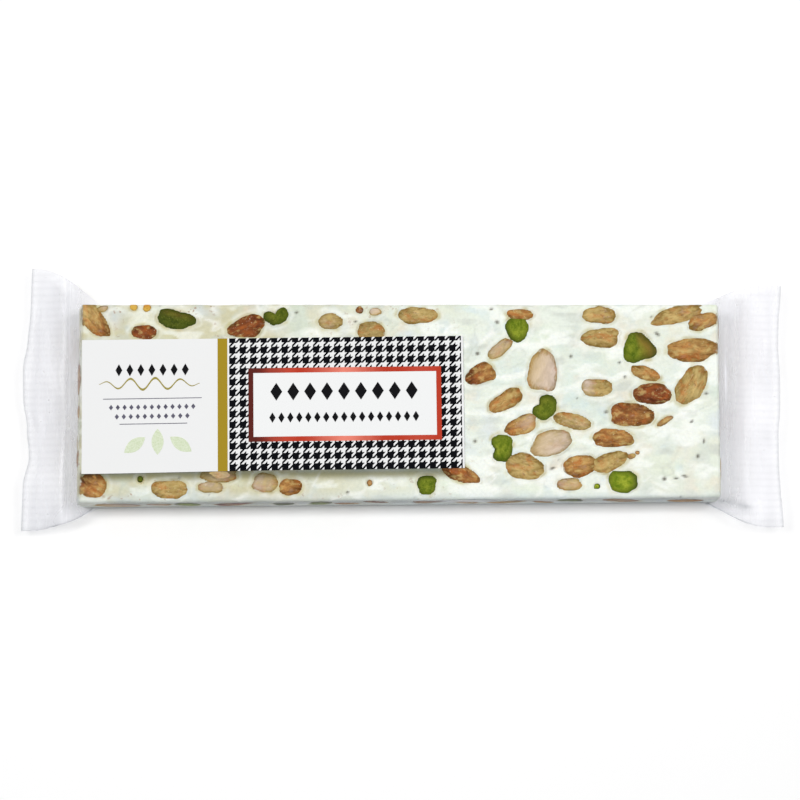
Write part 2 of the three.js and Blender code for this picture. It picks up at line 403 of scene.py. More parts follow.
# %% The nuts in the top face
# Places and sizes are from the middle of the top face, in millimetres. Tone goes from 0 (golden)
# to 1 (dark red), pale from 0 to 1 (a cut or veiled face), and both can grow to the far tip.
ALMOND_COLUMNS = "x y length width turn taper tone pale tone_grows pale_grows".split()
TOP_ALMONDS = [
    (-105.8, 28.4, 14.6, 7.4, -52, 0.1, 0.35, 0.0, 0.35, 0.0),
    (-88.4, 24.2, 9.6, 5.2, 0, 0.0, 1.0, 0.0, 0.0, 0.0),
    (-53.6, 26.0, 14.0, 7.6, 194, 0.5, 1.05, 0.0, -0.1, 0.0),
    (-24.0, 28.0, 9.2, 5.6, 0, 0.0, -0.1, 0.2, 0.1, -0.2),
    (-10.2, 24.6, 9.6, 7.2, 0, 0.0, -0.15, 0.0, 0.0, 0.0),
    (6.2, 30.1, 15.2, 5.8, 0, 0.1, 0.0, 0.1, 0.1, 0.0),
    (41.6, 30.4, 9.6, 4.0, -4, 0.0, 0.5, 0.0, 0.0, 0.0),
    (34.6, 18.4, 11.0, 4.4, 39, 0.1, 0.0, 0.5, 0.2, -0.25),
    (27.4, 9.4, 11.2, 7.2, 25, -0.3, 0.75, 0.0, -0.2, 0.0),
    (49.2, 10.6, 15.8, 10.4, 83, 0.15, 0.3, 0.95, 0.0, 0.0),
    (36.2, 0.2, 13.4, 6.4, 33, -0.25, 0.35, 0.0, -0.1, 0.0),
    (41.6, -8.4, 12.8, 6.4, 20, -0.2, 0.5, 0.25, 0.0, 0.5),
    (59.4, -6.8, 14.6, 5.4, -12, 0.1, 0.0, 0.2, -0.1, 0.1),
    (52.2, -14.4, 15.4, 9.2, 15, 0.1, -0.1, 0.8, 0.0, -0.25),
    (42.8, -22.6, 14.2, 9.2, -8, 0.05, 0.05, 0.1, 0.0, 0.0),
    (20.8, -25.0, 14.4, 5.8, -22, 0.1, 0.8, 0.0, -0.1, 0.0),
    (62.0, -22.4, 12.4, 7.6, 12, 0.1, 0.5, 0.05, -0.1, 0.0),
    (72.4, -20.8, 13.6, 6.6, 20, 0.3, 0.1, 0.0, -0.1, 0.0),
    (58.2, -29.0, 9.6, 4.6, -3, 0.0, 0.1, 0.4, 0.0, 0.0),
    (73.4, -12.8, 15.0, 6.8, -2, 0.1, 0.6, 0.0, -0.15, 0.0),
    (80.0, -4.6, 17.0, 8.4, -6, 0.05, 0.75, 0.0, -0.15, 0.0),
    (68.0, 4.8, 11.4, 6.6, 0, 0.1, 0.0, 0.1, 0.0, -1.0),
    (69.2, 22.2, 14.2, 7.0, 0, -0.25, 0.05, 0.0, 0.15, 0.0),
    (69.0, 30.2, 12.6, 6.2, 0, 0.0, 0.1, 0.1, 0.0, 0.0),
    (95.8, 30.2, 19.4, 5.8, 13, 0.05, 0.2, 0.0, 0.0, 0.3),
    (104.6, 28.0, 11.0, 6.0, 20, 0.0, 0.4, 0.1, 0.1, 0.0),
    (100.6, 18.0, 18.0, 8.6, 0, -0.15, 0.45, 0.0, -0.1, 0.0),
    (100.6, 6.0, 16.4, 9.0, 58, 0.1, 0.05, 0.0, 0.1, 0.0),
    (84.8, 9.8, 11.0, 4.8, -20, 0.15, 0.35, 0.0, 0.1, 0.0),
    (87.0, 2.6, 15.0, 7.4, -2, 0.05, 1.05, 0.0, 0.0, 0.0),
    (91.2, -6.8, 6.6, 2.0, 31, 0.0, 0.4, 0.2, 0.0, 0.0),
    (-105.2, -28.6, 10.0, 8.0, -20, 0.0, 0.6, 0.0, -0.2, 0.0),
    (-79.0, -30.0, 13.0, 6.2, 0, 0.0, 0.05, 0.1, 0.0, 0.0),
    (-62.2, -25.6, 13.8, 4.6, 0, 0.0, -0.1, 0.35, 0.0, 0.0),
    (-65.0, -29.4, 9.4, 3.6, 0, 0.0, -0.15, 0.5, 0.0, 0.0),
    (-46.2, -28.0, 9.4, 6.4, -5, 0.0, -0.2, 0.5, 0.0, -0.2),
    (-37.6, -29.4, 8.6, 5.6, 5, 0.0, 0.6, 0.0, 0.0, 0.0),
    (-103.0, 32.4, 3.8, 2.2, 10, 0.0, 0.1, 0.3, 0.0, 0.0),
    (-92.2, 33.0, 2.6, 2.2, 0, 0.0, -1.0, 0.0, 0.0, 0.0),
    (-87.6, 32.8, 2.8, 2.6, 30, 0.0, -1.0, 0.0, 0.0, 0.0),
    (-14.0, 32.0, 2.8, 2.4, 0, 0.0, 0.8, 0.1, 0.0, 0.0),
    (-8.6, 31.4, 4.2, 2.6, 0, 0.0, 0.2, 0.9, 0.0, 0.0),
    (-10.4, -28.2, 1.8, 2.0, 0, 0.0, 0.6, 0.2, 0.0, 0.0),
    (79.6, -19.0, 3.0, 1.8, 15, 0.0, 0.5, 0.2, 0.0, 0.0),
    (81.6, -17.8, 1.6, 1.2, 0, 0.0, 0.6, 0.2, 0.0, 0.0),
]
# A pistachio's tone goes from 0 (dark) to 1 (bright), and skin is how much brown skin is left.
PISTACHIO_COLUMNS = "x y length width turn taper notch notch_at skin tone".split()
TOP_PISTACHIOS = [
    (-77.4, 29.0, 14.2, 7.8, -10, 0.0, 0.35, 80, 0.3, 0.0),
    (-43.0, 30.2, 9.6, 6.8, 8, 0.0, 0.92, 100, 0.1, 0.15),
    (40.6, 25.0, 9.2, 8.4, -90, 0.35, 0.0, 0, 0.0, 0.7),
    (49.6, -1.8, 10.2, 9.0, 60, 0.0, 0.6, 85, 0.1, 0.35),
    (34.6, -16.2, 10.2, 9.4, 75, 0.0, 0.6, 115, 0.0, 0.6),
    (82.2, 19.2, 11.8, 11.0, 105, 0.4, 0.0, 0, 0.8, 0.5),
    (76.6, -28.0, 10.4, 8.8, 0, 0.0, 0.0, 0, 0.0, 0.95),
    (9.0, -29.0, 7.8, 7.0, 0, 0.0, 0.2, 200, 0.0, 0.5),
    (-89.2, -26.8, 1.9, 1.9, 0, 0.0, 0.0, 0, 0.3, 0.4),
    (67.6, -29.8, 2.2, 2.0, 0, 0.0, 0.0, 0, 0.0, 1.6),
]

NUT_FIELDS = ["length", "width", "taper", "notch", "notch_at", "tone", "tone_grows", "pale"]
NUT_FIELDS += ["pale_grows", "skin", "seed"]
NUT_TYPE = [("middle", float, 3), ("axes", float, (3, 3))] + [(f, float) for f in NUT_FIELDS]


def turned(axis_u, axis_v, degrees):
    """Two axes turned in their own plane, and the third square to both."""
    angle = radians(degrees)
    along = np.cos(angle) * axis_u + np.sin(angle) * axis_v
    across = np.cos(angle) * axis_v - np.sin(angle) * axis_u
    return np.array([along, across, np.cross(along, across)])


def nut_at(middle, axes, notch_at=0.0, **numbers):
    """One nut's record. Its middle is on the slab's face, and its third axis points out."""
    nut = np.zeros((), NUT_TYPE)
    nut["middle"], nut["axes"], nut["notch_at"] = middle, axes, radians(notch_at)
    for name, value in numbers.items():
        nut[name] = value
    return nut


def placed_on_top(rows, columns, first_seed):
    """Records of the nuts in the top face, from rows of numbers."""
    nuts = []
    for number, row in enumerate(rows):
        look = dict(zip(columns, row))
        place = top_middle + (look.pop("x"), look.pop("y"), 0)
        axes = turned(EAST, NORTH, look.pop("turn"))
        nuts.append(nut_at(place, axes, seed=first_seed + number, **look))
    return nuts


EAST, NORTH, UP = np.eye(3)
top_nuts = {
    "almond": placed_on_top(TOP_ALMONDS, ALMOND_COLUMNS, 0),
    "pistachio": placed_on_top(TOP_PISTACHIOS, PISTACHIO_COLUMNS, 100),
}
print(len(top_nuts["almond"]), "almonds and", len(top_nuts["pistachio"]), "pistachios on top")

# %% [markdown]
# The other five faces get theirs by a seeded scatter: a random spot is kept if no nut already
# kept is too near. The left end gets three more, listed one by one. They sit high in it, where
# they show just beyond the label, and the scatter keeps clear of them.

# %% The nuts in the other faces
random = np.random.default_rng(11)
HALF = BAR / 2
# name: two axes in the face, the half sizes along them, and how many nuts lie in it
FACES = {
    "front": (EAST, UP, HALF[0], HALF[2], 15),
    "back": (-EAST, UP, HALF[0], HALF[2], 15),
    "right": (NORTH, UP, HALF[1], HALF[2], 4),
    "left": (-NORTH, UP, HALF[1], HALF[2], 2),
    "under": (EAST, -NORTH, HALF[0], HALF[1], 56),
}
PISTACHIO_SHARE = 0.2
# least and most length, and least and most width as a share of the length
SCATTER_SIZES = {"almond": (9, 17, 0.4, 0.6), "pistachio": (8, 12, 0.7, 0.9)}
NARROW_HALF = 10  # a face less than twice this high keeps its nuts nearly level
NARROW_TURN, WIDE_TURN = 35, 80
TRIES = 3000
APART = 1.0  # the least distance between two middles, as a share of their mean length
# across, up, length, width and tone
LEFT_END_NUTS = [
    (-8.5, 4.2, 11.5, 6.0, 0.55),
    (3.2, 4.6, 5.0, 4.4, 0.5),
    (19.6, 4.0, 6.0, 5.0, 0.6),
]


def random_look(kind):
    """The numbers of one nut's looks."""
    look = {"seed": random.integers(1000, 9000)}
    if kind == "pistachio":
        look.update(notch=random.choice([0, 0, 0.5]), notch_at=random.uniform(0, 360))
        look.update(tone=random.uniform(0, 1))
    else:
        look.update(tone=random.uniform(0.1, 0.9), pale=random.choice([0, 0, 0.2, 0.8]))
    look.update(taper=random.uniform(-0.3, 0.3))
    return look


def scattered(axis_u, axis_v, half_u, half_v, count, taken=()):
    """Nuts in one face of the slab, kept well apart from each other and from the spots that are
    taken. A full face takes fewer than its count."""
    out = np.cross(axis_u, axis_v)
    face_middle = slab_middle + out * HALF[np.argmax(np.abs(out))]
    most_turn = NARROW_TURN if half_v < NARROW_HALF else WIDE_TURN
    kept, spots = [], list(taken)
    for _ in range(TRIES):
        if len(kept) == count:
            break
        kind = "pistachio" if random.random() < PISTACHIO_SHARE else "almond"
        shortest, longest, slim, stout = SCATTER_SIZES[kind]
        length = random.uniform(shortest, longest)
        width = min(length * random.uniform(slim, stout), 1.3 * half_v)
        turn = random.uniform(-most_turn, most_turn)
        reach_v = abs(np.sin(radians(turn))) * length / 2 + width / 2
        u = random.uniform(-1, 1) * (half_u - length / 2 - 1)
        v = random.uniform(-1, 1) * max(half_v - reach_v - 0.8, 0)
        size = APART * length / 2
        if any(np.hypot(u - a, v - b) < size + c for a, b, c in spots):
            continue
        spots.append((u, v, size))
        place, axes = face_middle + u * axis_u + v * axis_v, turned(axis_u, axis_v, turn)
        nut = nut_at(place, axes, length=length, width=width, **random_look(kind))
        kept.append((kind, nut))
    return kept


side_nuts = {"almond": [], "pistachio": []}
left_spots = [(across, up, APART * length / 2) for across, up, length, _, _ in LEFT_END_NUTS]
for name, face in FACES.items():
    for kind, nut in scattered(*face, taken=left_spots if name == "left" else ()):
        side_nuts[kind].append(nut)
left_middle, left_axes = slab_middle - HALF[0] * EAST, turned(-NORTH, UP, 0)
for number, (across, up, length, width, tone) in enumerate(LEFT_END_NUTS):
    place = left_middle - across * NORTH + up * UP
    look = {"length": length, "width": width, "tone": tone, "seed": 200 + number}
    side_nuts["almond"].append(nut_at(place, left_axes, **look))

almonds = np.array(top_nuts["almond"] + side_nuts["almond"], NUT_TYPE)
pistachios = np.array(top_nuts["pistachio"] + side_nuts["pistachio"], NUT_TYPE)
all_nuts = np.concatenate([almonds, pistachios])
print(len(almonds), "almonds and", len(pistachios), "pistachios in all")

# %% [markdown]
# ## The outline of a nut
#
# One formula serves the nuts themselves, the nougat that closes round them and the film that
# passes over them, so all three fit without any cutting.

# %% Outline and nearness
NOTCH_SPREAD = 0.6
BLUNT = 0.88  # under 1 fills the corners of the ellipse a little
UNEVEN = [(2, 0.03), (3, 0.035), (4, 0.025), (5, 0.022), (7, 0.018), (11, 0.012)]


def outline(nuts, angle):
    """The edge of each nut at an angle round its middle, as (along, across) in millimetres: an
    ellipse with filled corners, narrowed towards +along by its taper, drawn in at its notch,
    and with a few small waves of its own, each with its count round the nut and its size."""
    c, s = np.cos(angle), np.sin(angle)
    along = np.sign(c) * np.abs(c) ** BLUNT
    across = np.sign(s) * np.abs(s) ** BLUNT * (1 - nuts["taper"] * along)
    away = (angle - nuts["notch_at"] + pi) % (2 * pi) - pi
    pull = 1 - nuts["notch"] * np.exp(-((away / NOTCH_SPREAD) ** 2))
    for count, size in UNEVEN:
        pull = pull * (1 + size * np.sin(count * angle + 1.7 * count * nuts["seed"]))
    return along * pull * nuts["length"] / 2, across * pull * nuts["width"] / 2


NO_RATIO, NO_GAP = 9.0, 99.0  # where no nut is near
FIELD = 4.0  # how far beyond its tips a nut is looked for


def nearness(points, nuts, above=3.0):
    """For each point, how far out of the nearest nut it is, in that nut's own size: 0 at its
    middle and 1 at its edge. The second array is the distance from the edge in millimetres."""
    ratio = np.full(len(points), NO_RATIO)
    gap = np.full(len(points), NO_GAP)
    for nut in nuts:
        local = (points - nut["middle"]) @ nut["axes"].T
        from_middle = np.hypot(local[:, 0], local[:, 1])
        here = (np.abs(local[:, 2]) < above) & (from_middle < nut["length"] / 2 + FIELD)
        near, length = local[here], from_middle[here]
        angle = np.arctan2(near[:, 1] / nut["width"], near[:, 0] / nut["length"])
        edge = np.hypot(*outline(nut, angle))
        ratio[here] = np.minimum(ratio[here], length / edge)
        gap[here] = np.minimum(gap[here], length - edge)
    return ratio, gap


tips = np.array([outline(nut, 0.0)[0] for nut in almonds])
print("an almond's tip is", tips.min().round(1), "to", tips.max().round(1), "mm from its middle")

# %% [markdown]
# ## The nougat
#
# Nougat is whipped sugar, honey and egg white: cream-white, faintly green where it lets light
# through, smeared by the knife and pitted with small bubbles. The slab could be a box with a
# bump map, but its edges and the way it closes round the nuts show from every side. So it is a
# loft of rings round the long axis, fine on top and coarser underneath, and every point is moved
# outwards by a relief: soft lumps, drag lines, pits, and a dip under each nut.

# %% Rings of the slab
EDGE = 1.1  # the radius of the slab's edges
TOP_PITCH, UNDER_PITCH, SIDE_PITCH = 0.55, 1.9, 0.8  # between points, on each kind of side
CAP_RINGS = 34


def ring_of_slab():
    """Points (y, z) round the slab's section, and the outward direction at each: four straight
    sides, stepped by their own pitch, and a quarter circle between each two."""
    width, height = HALF[1] - EDGE, HALF[2] - EDGE
    sides = [
        ((-width, HALF[2]), (width, HALF[2]), TOP_PITCH, (0, 1)),
        ((HALF[1], height), (HALF[1], -height), SIDE_PITCH, (1, 0)),
        ((width, -HALF[2]), (-width, -HALF[2]), UNDER_PITCH, (0, -1)),
        ((-HALF[1], -height), (-HALF[1], height), SIDE_PITCH, (-1, 0)),
    ]
    places, outs = [], []
    for number, (start, end, pitch, out) in enumerate(sides):
        start, end, out = np.array(start), np.array(end), np.array(out, float)
        steps = int(np.ceil(np.linalg.norm(end - start) / pitch)) + 1
        places.append(np.linspace(start, end, steps))
        outs.append(np.tile(out, (steps, 1)))
        turn = np.linspace(0, pi / 2, 5)[1:-1, None]
        next_out = np.array(sides[(number + 1) % 4][3], float)
        arc = np.cos(turn) * out + np.sin(turn) * next_out
        places.append(end - out * EDGE + arc * EDGE)
        outs.append(arc)
    return np.concatenate(places), np.concatenate(outs)


def slab_points():
    """The slab's rings from left to right. Towards each end a ring draws in along a quarter
    circle, and past the end it shrinks to the middle of the cap."""
    ring, out = ring_of_slab()
    turn = np.linspace(0, pi / 2, 6)[1:]
    inner = np.arange(-HALF[0] + EDGE, HALF[0] - EDGE + 0.01, TOP_PITCH)
    right_x = HALF[0] - EDGE + EDGE * np.sin(turn)
    inset = EDGE * (1 - np.cos(turn))
    x = np.concatenate([-right_x[::-1], inner, right_x])
    inset = np.concatenate([inset[::-1], np.zeros(len(inner)), inset])
    body = np.empty((len(x), len(ring), 3))
    body[..., 0] = x[:, None]
    body[..., 1:] = ring - inset[:, None, None] * out
    shrink = np.linspace(0, 1, CAP_RINGS)[:-1, None, None]
    scale = shrink * [0, 1, 1] + [1, 0, 0]
    return np.concatenate([body[0] * scale, body, body[-1] * scale[::-1]]), len(ring)


points, ring_size = slab_points()
ring_count = len(points)
slab = points.reshape(-1, 3)
print(ring_count, "rings of", ring_size, "points")

# %% [markdown]
# The film's pull leaves the slab a little out of true: its ends swell, and its front side is
# askew. `settle` does this to any points. It is used on the nuts too, so that they stay in place.

# %% Ends and front out of true
LEFT_SWELL, RIGHT_SWELL = 1.7, 0.6  # how far an end swells out between its edges
SWELLS_OVER = 8  # how far from an end the swell starts
ASKEW = (-1.1, 0.9)  # how far back the front side lies at the left end and at the right one
ASKEW_FROM, ASKEW_FULL = 24, 34  # to -Y of the slab's middle


def askew(local):
    """How far back the front side moves: evenly more from the left end to the right one."""
    along = np.clip(local[..., 0] / BAR[0] + 0.5, 0, 1)
    back = ASKEW[0] * (1 - along) + ASKEW[1] * along
    return back * smooth_step(-local[..., 1], ASKEW_FROM, ASKEW_FULL)


def settle(places):
    """Swells the slab's ends: near an end a point moves out along X by the end's swell times a
    parabola over the height. Then the front side goes askew."""
    local = places - slab_middle
    bulge = np.clip(1 - (local[:, 2] / HALF[2]) ** 2, 0, 1)
    near_right = smooth_step(local[:, 0], HALF[0] - SWELLS_OVER, HALF[0])
    near_left = smooth_step(-local[:, 0], HALF[0] - SWELLS_OVER, HALF[0])
    moved = places.copy()
    moved[:, 0] += bulge * (RIGHT_SWELL * near_right - LEFT_SWELL * near_left)
    moved[:, 1] += askew(local)
    return moved


print("ends swell by", LEFT_SWELL, "and", RIGHT_SWELL, "mm")

# %% [markdown]
# The whipped mass is full of small bubbles, and the knife opened some of them. Cutting each out
# of the mesh would ruin its grid, so a pit is a bell-shaped dent in the relief.

# %% Pits
# x, y, length, width and turn of the larger pits in the top face
PITS = [
    (31.6, 32.4, 1.5, 1.1, 0),
    (33.6, 27.8, 1.9, 1.4, -30),
    (26.8, 16.8, 1.7, 1.5, -20),
    (89.0, 23.6, 2.5, 1.2, -35),
    (75.8, 13.6, 1.3, 1.1, 0),
    (77.6, 8.6, 1.3, 1.1, 0),
    (52.4, -23.2, 2.4, 1.0, 15),
    (25.8, -13.8, 1.5, 1.4, 0),
    (105.6, 2.8, 1.5, 1.2, 0),
    (100.4, -7.0, 1.8, 1.0, 30),
    (104.6, -13.8, 0.9, 2.0, 0),
    (102.4, -19.0, 1.4, 1.7, 0),
    (90.8, -27.0, 1.8, 1.8, 0),
    (94.8, -26.8, 2.0, 0.9, -10),
    (97.8, -26.0, 2.7, 1.0, -15),
    (-35.8, 31.2, 1.5, 1.1, 0),
    (-15.4, 28.0, 1.4, 1.0, 0),
    (-18.0, -31.4, 1.4, 1.0, 0),
    (59.0, 15.8, 1.4, 1.4, 0),
    (71.0, -3.6, 1.8, 1.0, 0),
]
PIT_SPREAD = 0.41  # half size of a pit's bell, as a share of the pit's length or width
SMALL_PITS = 90


def pit_places():
    """Middle, two half sizes, turn, axis and depth of every pit: those listed for the top, and
    small seeded bubbles on all faces."""
    rows = []
    for x, y, length, width, degrees in PITS:
        half_sizes = PIT_SPREAD * length, PIT_SPREAD * width
        rows.append((top_middle + (x, y, 0), *half_sizes, radians(degrees), 2, 1.0))
    for _ in range(SMALL_PITS):
        spot = random.uniform(-1, 1, 3) * HALF
        axis = random.choice([0, 1, 1, 2, 2, 2, 2])
        spot[axis] = HALF[axis] * random.choice([-1, 1])
        size = random.uniform(0.25, 0.55)
        turn, depth = random.uniform(-0.5, 0.5), random.uniform(0.2, 0.7)
        rows.append((slab_middle + spot, size, size * random.uniform(0.5, 1), turn, axis, depth))
    return rows


def pit_depth(places):
    """From 0 to 1, how deep in a pit each point lies: a bell over the pit's ellipse."""
    depth = np.zeros(len(places))
    for middle, half_a, half_b, turn, axis, deepest in pit_places():
        local = np.delete(places - middle, axis, axis=1)
        here = np.linalg.norm(places - middle, axis=1) < 3 * half_a + 0.5
        a = local[here] @ [np.cos(turn), np.sin(turn)]
        b = local[here] @ [-np.sin(turn), np.cos(turn)]
        dent = deepest * np.exp(-(((a / half_a) ** 2 + (b / half_b) ** 2) ** 1.5))
        depth[here] = np.maximum(depth[here], dent)
    return depth


ROUNDED = 4.0  # over this distance of an edge the outward direction turns
core = HALF - ROUNDED
outward = slab - np.clip(slab, -core, core)
outward /= np.linalg.norm(outward, axis=1)[:, None]
slab = slab + slab_middle
pits = pit_depth(slab)
print(int((pits > 0.5).sum()), "points lie deep in a pit")

# %% [markdown]
# The relief is a sum of fields, each with its own height: soft lumps from the pouring, drag lines
# from the knife, crumbs, furrows and crests. The film holds down what rises, and under each nut
# the nougat's surface dives, so that the nut shows.

# %% Relief of the slab
LUMPS, DRAGS, CRUMBS, FURROWS, CRESTS = 0.26, 0.08, 0.03, 0.14, 0.12
MOST_RISE = 0.15
PIT_DIP, NUT_DIP = 0.55, 1.3
CREASE_TURN = radians(27)


def creases(places, size, seed, width):
    """1 along thin curved lines, where a stretched field passes through zero, and only where a
    second field lets them be. The places are turned first, so that no line follows the lattice."""
    c, s = np.cos(CREASE_TURN), np.sin(CREASE_TURN)
    tilted = places @ np.array([[c, -s, 0.2], [s, c, 0.3], [0.1, 0.3, 1.0]])
    line = bell(rich_noise(tilted, size, seed, 2), 0, width)
    return line * smooth_step(soft_noise(tilted, 9.0, seed + 1), 0.1, 0.6)


ratio, gap = nearness(slab, all_nuts)
clear = smooth_step(gap, 0.0, 2.5)  # 0 at the edge of a nut and 1 clear of it
sway = rich_noise(slab, 16.0, 5)[:, None] * [0, 3.0, 0]
furrows = creases(slab + sway, [13.0, 6.0, 6.0], 43, 0.05)
crests = creases(slab - sway, [11.0, 5.0, 5.0], 47, 0.07)
relief = LUMPS * rich_noise(slab, 8.0, 21)
relief = relief + DRAGS * rich_noise(slab + sway, [7.0, 2.2, 2.2], 31)
relief = relief + CRUMBS * soft_noise(slab, 1.4, 41)
relief = (relief - FURROWS * furrows + CRESTS * crests) * (0.25 + 0.75 * clear)
relief = np.where(relief > 0, MOST_RISE * np.tanh(relief / MOST_RISE), relief)
ragged = 0.025 * soft_noise(slab, 1.5, 49) + 0.05 * soft_noise(slab, 3.2, 53)
dip = NUT_DIP * smooth_step(1 - ratio, 0.10, 0.35)
relief = relief + ragged * (1 - clear) - dip - PIT_DIP * pits
slab = settle(slab + outward * relief[:, None])

slab_faces = grid_faces(ring_count, ring_size, closed=True).tolist()
nougat = new_piece("nougat", slab, slab_faces)
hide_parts("film_pack")
print("relief from", relief.min().round(2), "to", relief.max().round(2), "mm")

# %% [markdown]
# The colour is painted point by point. Cream and a cool, faintly green white take turns over a
# centimetre or two, whiter drag marks and greyer, clearer smears lie over them, and each nut
# stains the nougat beside it. Painted shade lies in the furrows and pits, round each nut, along
# the label's lower edge and on the front side, and a painted highlight on the crests. The shader
# only adds what is finer than the mesh.

# %% Paint on the nougat
CREAM = (234, 240, 228)
HONEY = (206, 200, 162)
# patches of noise over both: size, seed, colour and the most that they cover
PATCHES = [
    (12.0, 61, (214, 231, 222), 0.5),
    (9.0, 65, (230, 219, 204), 0.35),
    (10.0, 67, (222, 230, 240), 0.5),
    (8.0, 69, (232, 240, 216), 0.35),
    ([8.0, 4.0, 4.0], 81, (202, 209, 202), 0.45),
    (5.0, 73, (200, 224, 240), 0.3),
    (6.0, 77, (240, 218, 190), 0.3),
]
LABEL_SLOPE = 0.0113  # how much the label's long edges rise along X


def across_label(places):
    """How far each place lies to +Y of the label's middle line, which rises along X."""
    beside = places - label_middle
    return beside[..., 1] - LABEL_SLOPE * beside[..., 0]


def wide_layers(places, local):
    """Share and colour of what is wider than a few millimetres: honey towards the left end,
    patches, white and grey smears, and painted shade, darker and bluer, on the front side."""
    warm = 0.95 * smooth_step(-local[:, 0], -30, 60) + 0.3 * rich_noise(places, 15.0, 51)
    layers = [(warm, HONEY)]
    for size, seed, colour, most in PATCHES:
        patches = rich_noise(places + sway, size, seed)
        layers.append((most * smooth_step(patches, 0.12, 0.6), colour))
    smears = rich_noise(places + 1.6 * sway, [9.0, 3.2, 3.2], 71)
    most_white = 0.85 - 0.3 * np.clip(warm, 0, 1)
    return layers + [
        (most_white * smooth_step(smears, 0.08, 0.4), (248, 251, 243)),
        (0.65 * smooth_step(-smears, 0.2, 0.65), (203, 208, 198)),
        # painted shade on the front side, which faces away from the lamps: darker and bluer
        (0.5 * smooth_step(-local[:, 1], 30, 34), (208, 218, 220)),
    ]


def narrow_layers(places, local):
    """Share and colour of what is narrow: a yellowish painted shadow under the label's lower
    edge, painted shade in the furrows and a painted highlight on the crests, a pale lip, a stain
    and a painted shade round each nut, and painted shade in the pits."""
    # painted shadow under the label's lower edge, yellowish, on the top face
    label_shadow = bell(across_label(places), -24.6, 1.3) * (local[:, 0] < 22.5)
    label_shadow = label_shadow * (local[:, 2] > 0)
    worn = 0.5 + 0.5 * soft_noise(places, 2.5, 83)
    stain = bell(np.maximum(gap, 0), 0, 0.8)
    # painted shade in the narrow gap round each nut, broken up by noise
    shade = bell(gap, 0.1, 0.3) * smooth_step(soft_noise(places, 3.0, 85), 0, 0.5)
    return [
        # yellowish painted shadow of the label's lower edge
        (0.75 * label_shadow, (196, 186, 132)),
        # painted shade in the furrows
        (0.25 * furrows * clear, (168, 172, 160)),
        # painted highlight on the crests
        (0.6 * crests * clear, (254, 254, 250)),
        (0.6 * bell(gap, 1.0, 0.6) * (1 - worn), (248, 250, 242)),
        (0.8 * stain * smooth_step(worn, 0.4, 0.9), (200, 190, 132)),
        # painted shade round each nut
        (0.35 * shade, (140, 120, 76)),
        # painted shade in the pits, brownish and darkest in the middle of each
        (0.97 * pits, (70, 60, 38)),
    ]


local = slab - slab_middle
paint = np.tile(ink(*CREAM), (len(slab), 1))
for share, colour in wide_layers(slab, local) + narrow_layers(slab, local):
    paint = paint + (ink(*colour) - paint) * np.clip(share, 0, 1)[:, None]
give(nougat, "paint", paint)
specky = smooth_step(-local[:, 0], -60, 70) * smooth_step(rich_noise(slab, 14.0, 87), -0.3, 0.4)
give(nougat, "specky", specky)
weld(nougat)
print("paint, red green blue:", paint.mean(axis=0).round(2))

# %% [markdown]
# Nougat lets light a short way in, which softens its small shadows, so the shader has a little
# subsurface scattering. Two noise patterns give the speckle and the knife's drag lines, and
# a third one orange crumbs of nut, most of them towards the left end.

# %% Nougat finish


def nougat_finish():
    """The paint, dulled by a fine speckle and strewn with crumbs of nut, on a matt ground."""
    finish = Finish("nougat", Roughness=0.5, Specular_IOR_Level=0.35)
    finish.set(Subsurface_Weight=0.2, Subsurface_Scale=0.0008, Subsurface_Radius=(1.0, 0.9, 0.7))
    places = finish.add("TexCoord", out=3)
    speckle = finish.grain(places, 900.0, detail=4.0)
    veil = finish.mix(finish.between(speckle, 0.35, 0.7), ink(214, 218, 208), ink(255, 255, 250))
    inputs = {0: 0.3, 6: finish.read("paint", out=0), 7: veil}
    colour = finish.add("Mix", out=2, data_type="RGBA", blend_type="MULTIPLY", inputs=inputs)
    crumbs = finish.between(finish.grain(places, 520.0, detail=2.0), 0.63, 0.69, 0.0, 0.8)
    crumbs = finish.times(crumbs, finish.read("specky"))
    drag = finish.grain(places, 500.0, stretch=(0.2, 1.0, 1.0))
    height = finish.plus(finish.times(speckle, 0.6), drag)
    finish.set(
        Base_Color=finish.mix(crumbs, colour, ink(150, 98, 52)),
        Normal=finish.bump(height, 0.0002),
        Roughness=finish.between(speckle, 0.3, 0.7, 0.42, 0.62),
    )
    return finish


nougat_finish().put_on(nougat, "nougat")
print("nougat:", len(nougat.data.polygons), "faces")

# %% [markdown]
# ## The nuts
#
# A nut is a closed pebble on a polar grid: rings from the middle of its shown face out to the
# edge, then down and back under it inside the nougat. The shown face is nearly flat, as the
# knife left it, with the long wrinkles of the skin raised on it. All almonds are one mesh, and
# all pistachios another. Each point keeps how far out it is, and its nut's tone, for the finish.

# %% The pebble
AROUND = 48
ROUND_NUT = np.arange(AROUND) * 2 * pi / AROUND
# share of the outline, and height as a share of the rise (above the face) or the depth (below)
FACE_RINGS = np.array([0.12, 0.25, 0.38, 0.5, 0.62, 0.73, 0.83, 0.91, 0.97, 1.0])
SUNK_RINGS = np.array([[0.99, 0.25], [0.85, 0.65], [0.5, 0.95]])
NUT_DEPTH = 2.6
NUT_SINKS = 0.14  # how far the edge of the shown face lies under the nougat
LONGER, WIDER = 1.05, 1.08  # a pebble over its outline, as the nougat laps over its edge
ALMOND_RISE, PISTACHIO_RISE = 0.30, 0.26
WRINKLE = 0.10
# The knife cut off what stood out of the other faces, and the film holds the rest down.
CUT_BACK = 0.15
STANDS_OUT = np.array([0.3, 0.12, 0.12])  # at an end, at a long side and underneath
TOP_STANDS_OUT = 0.6


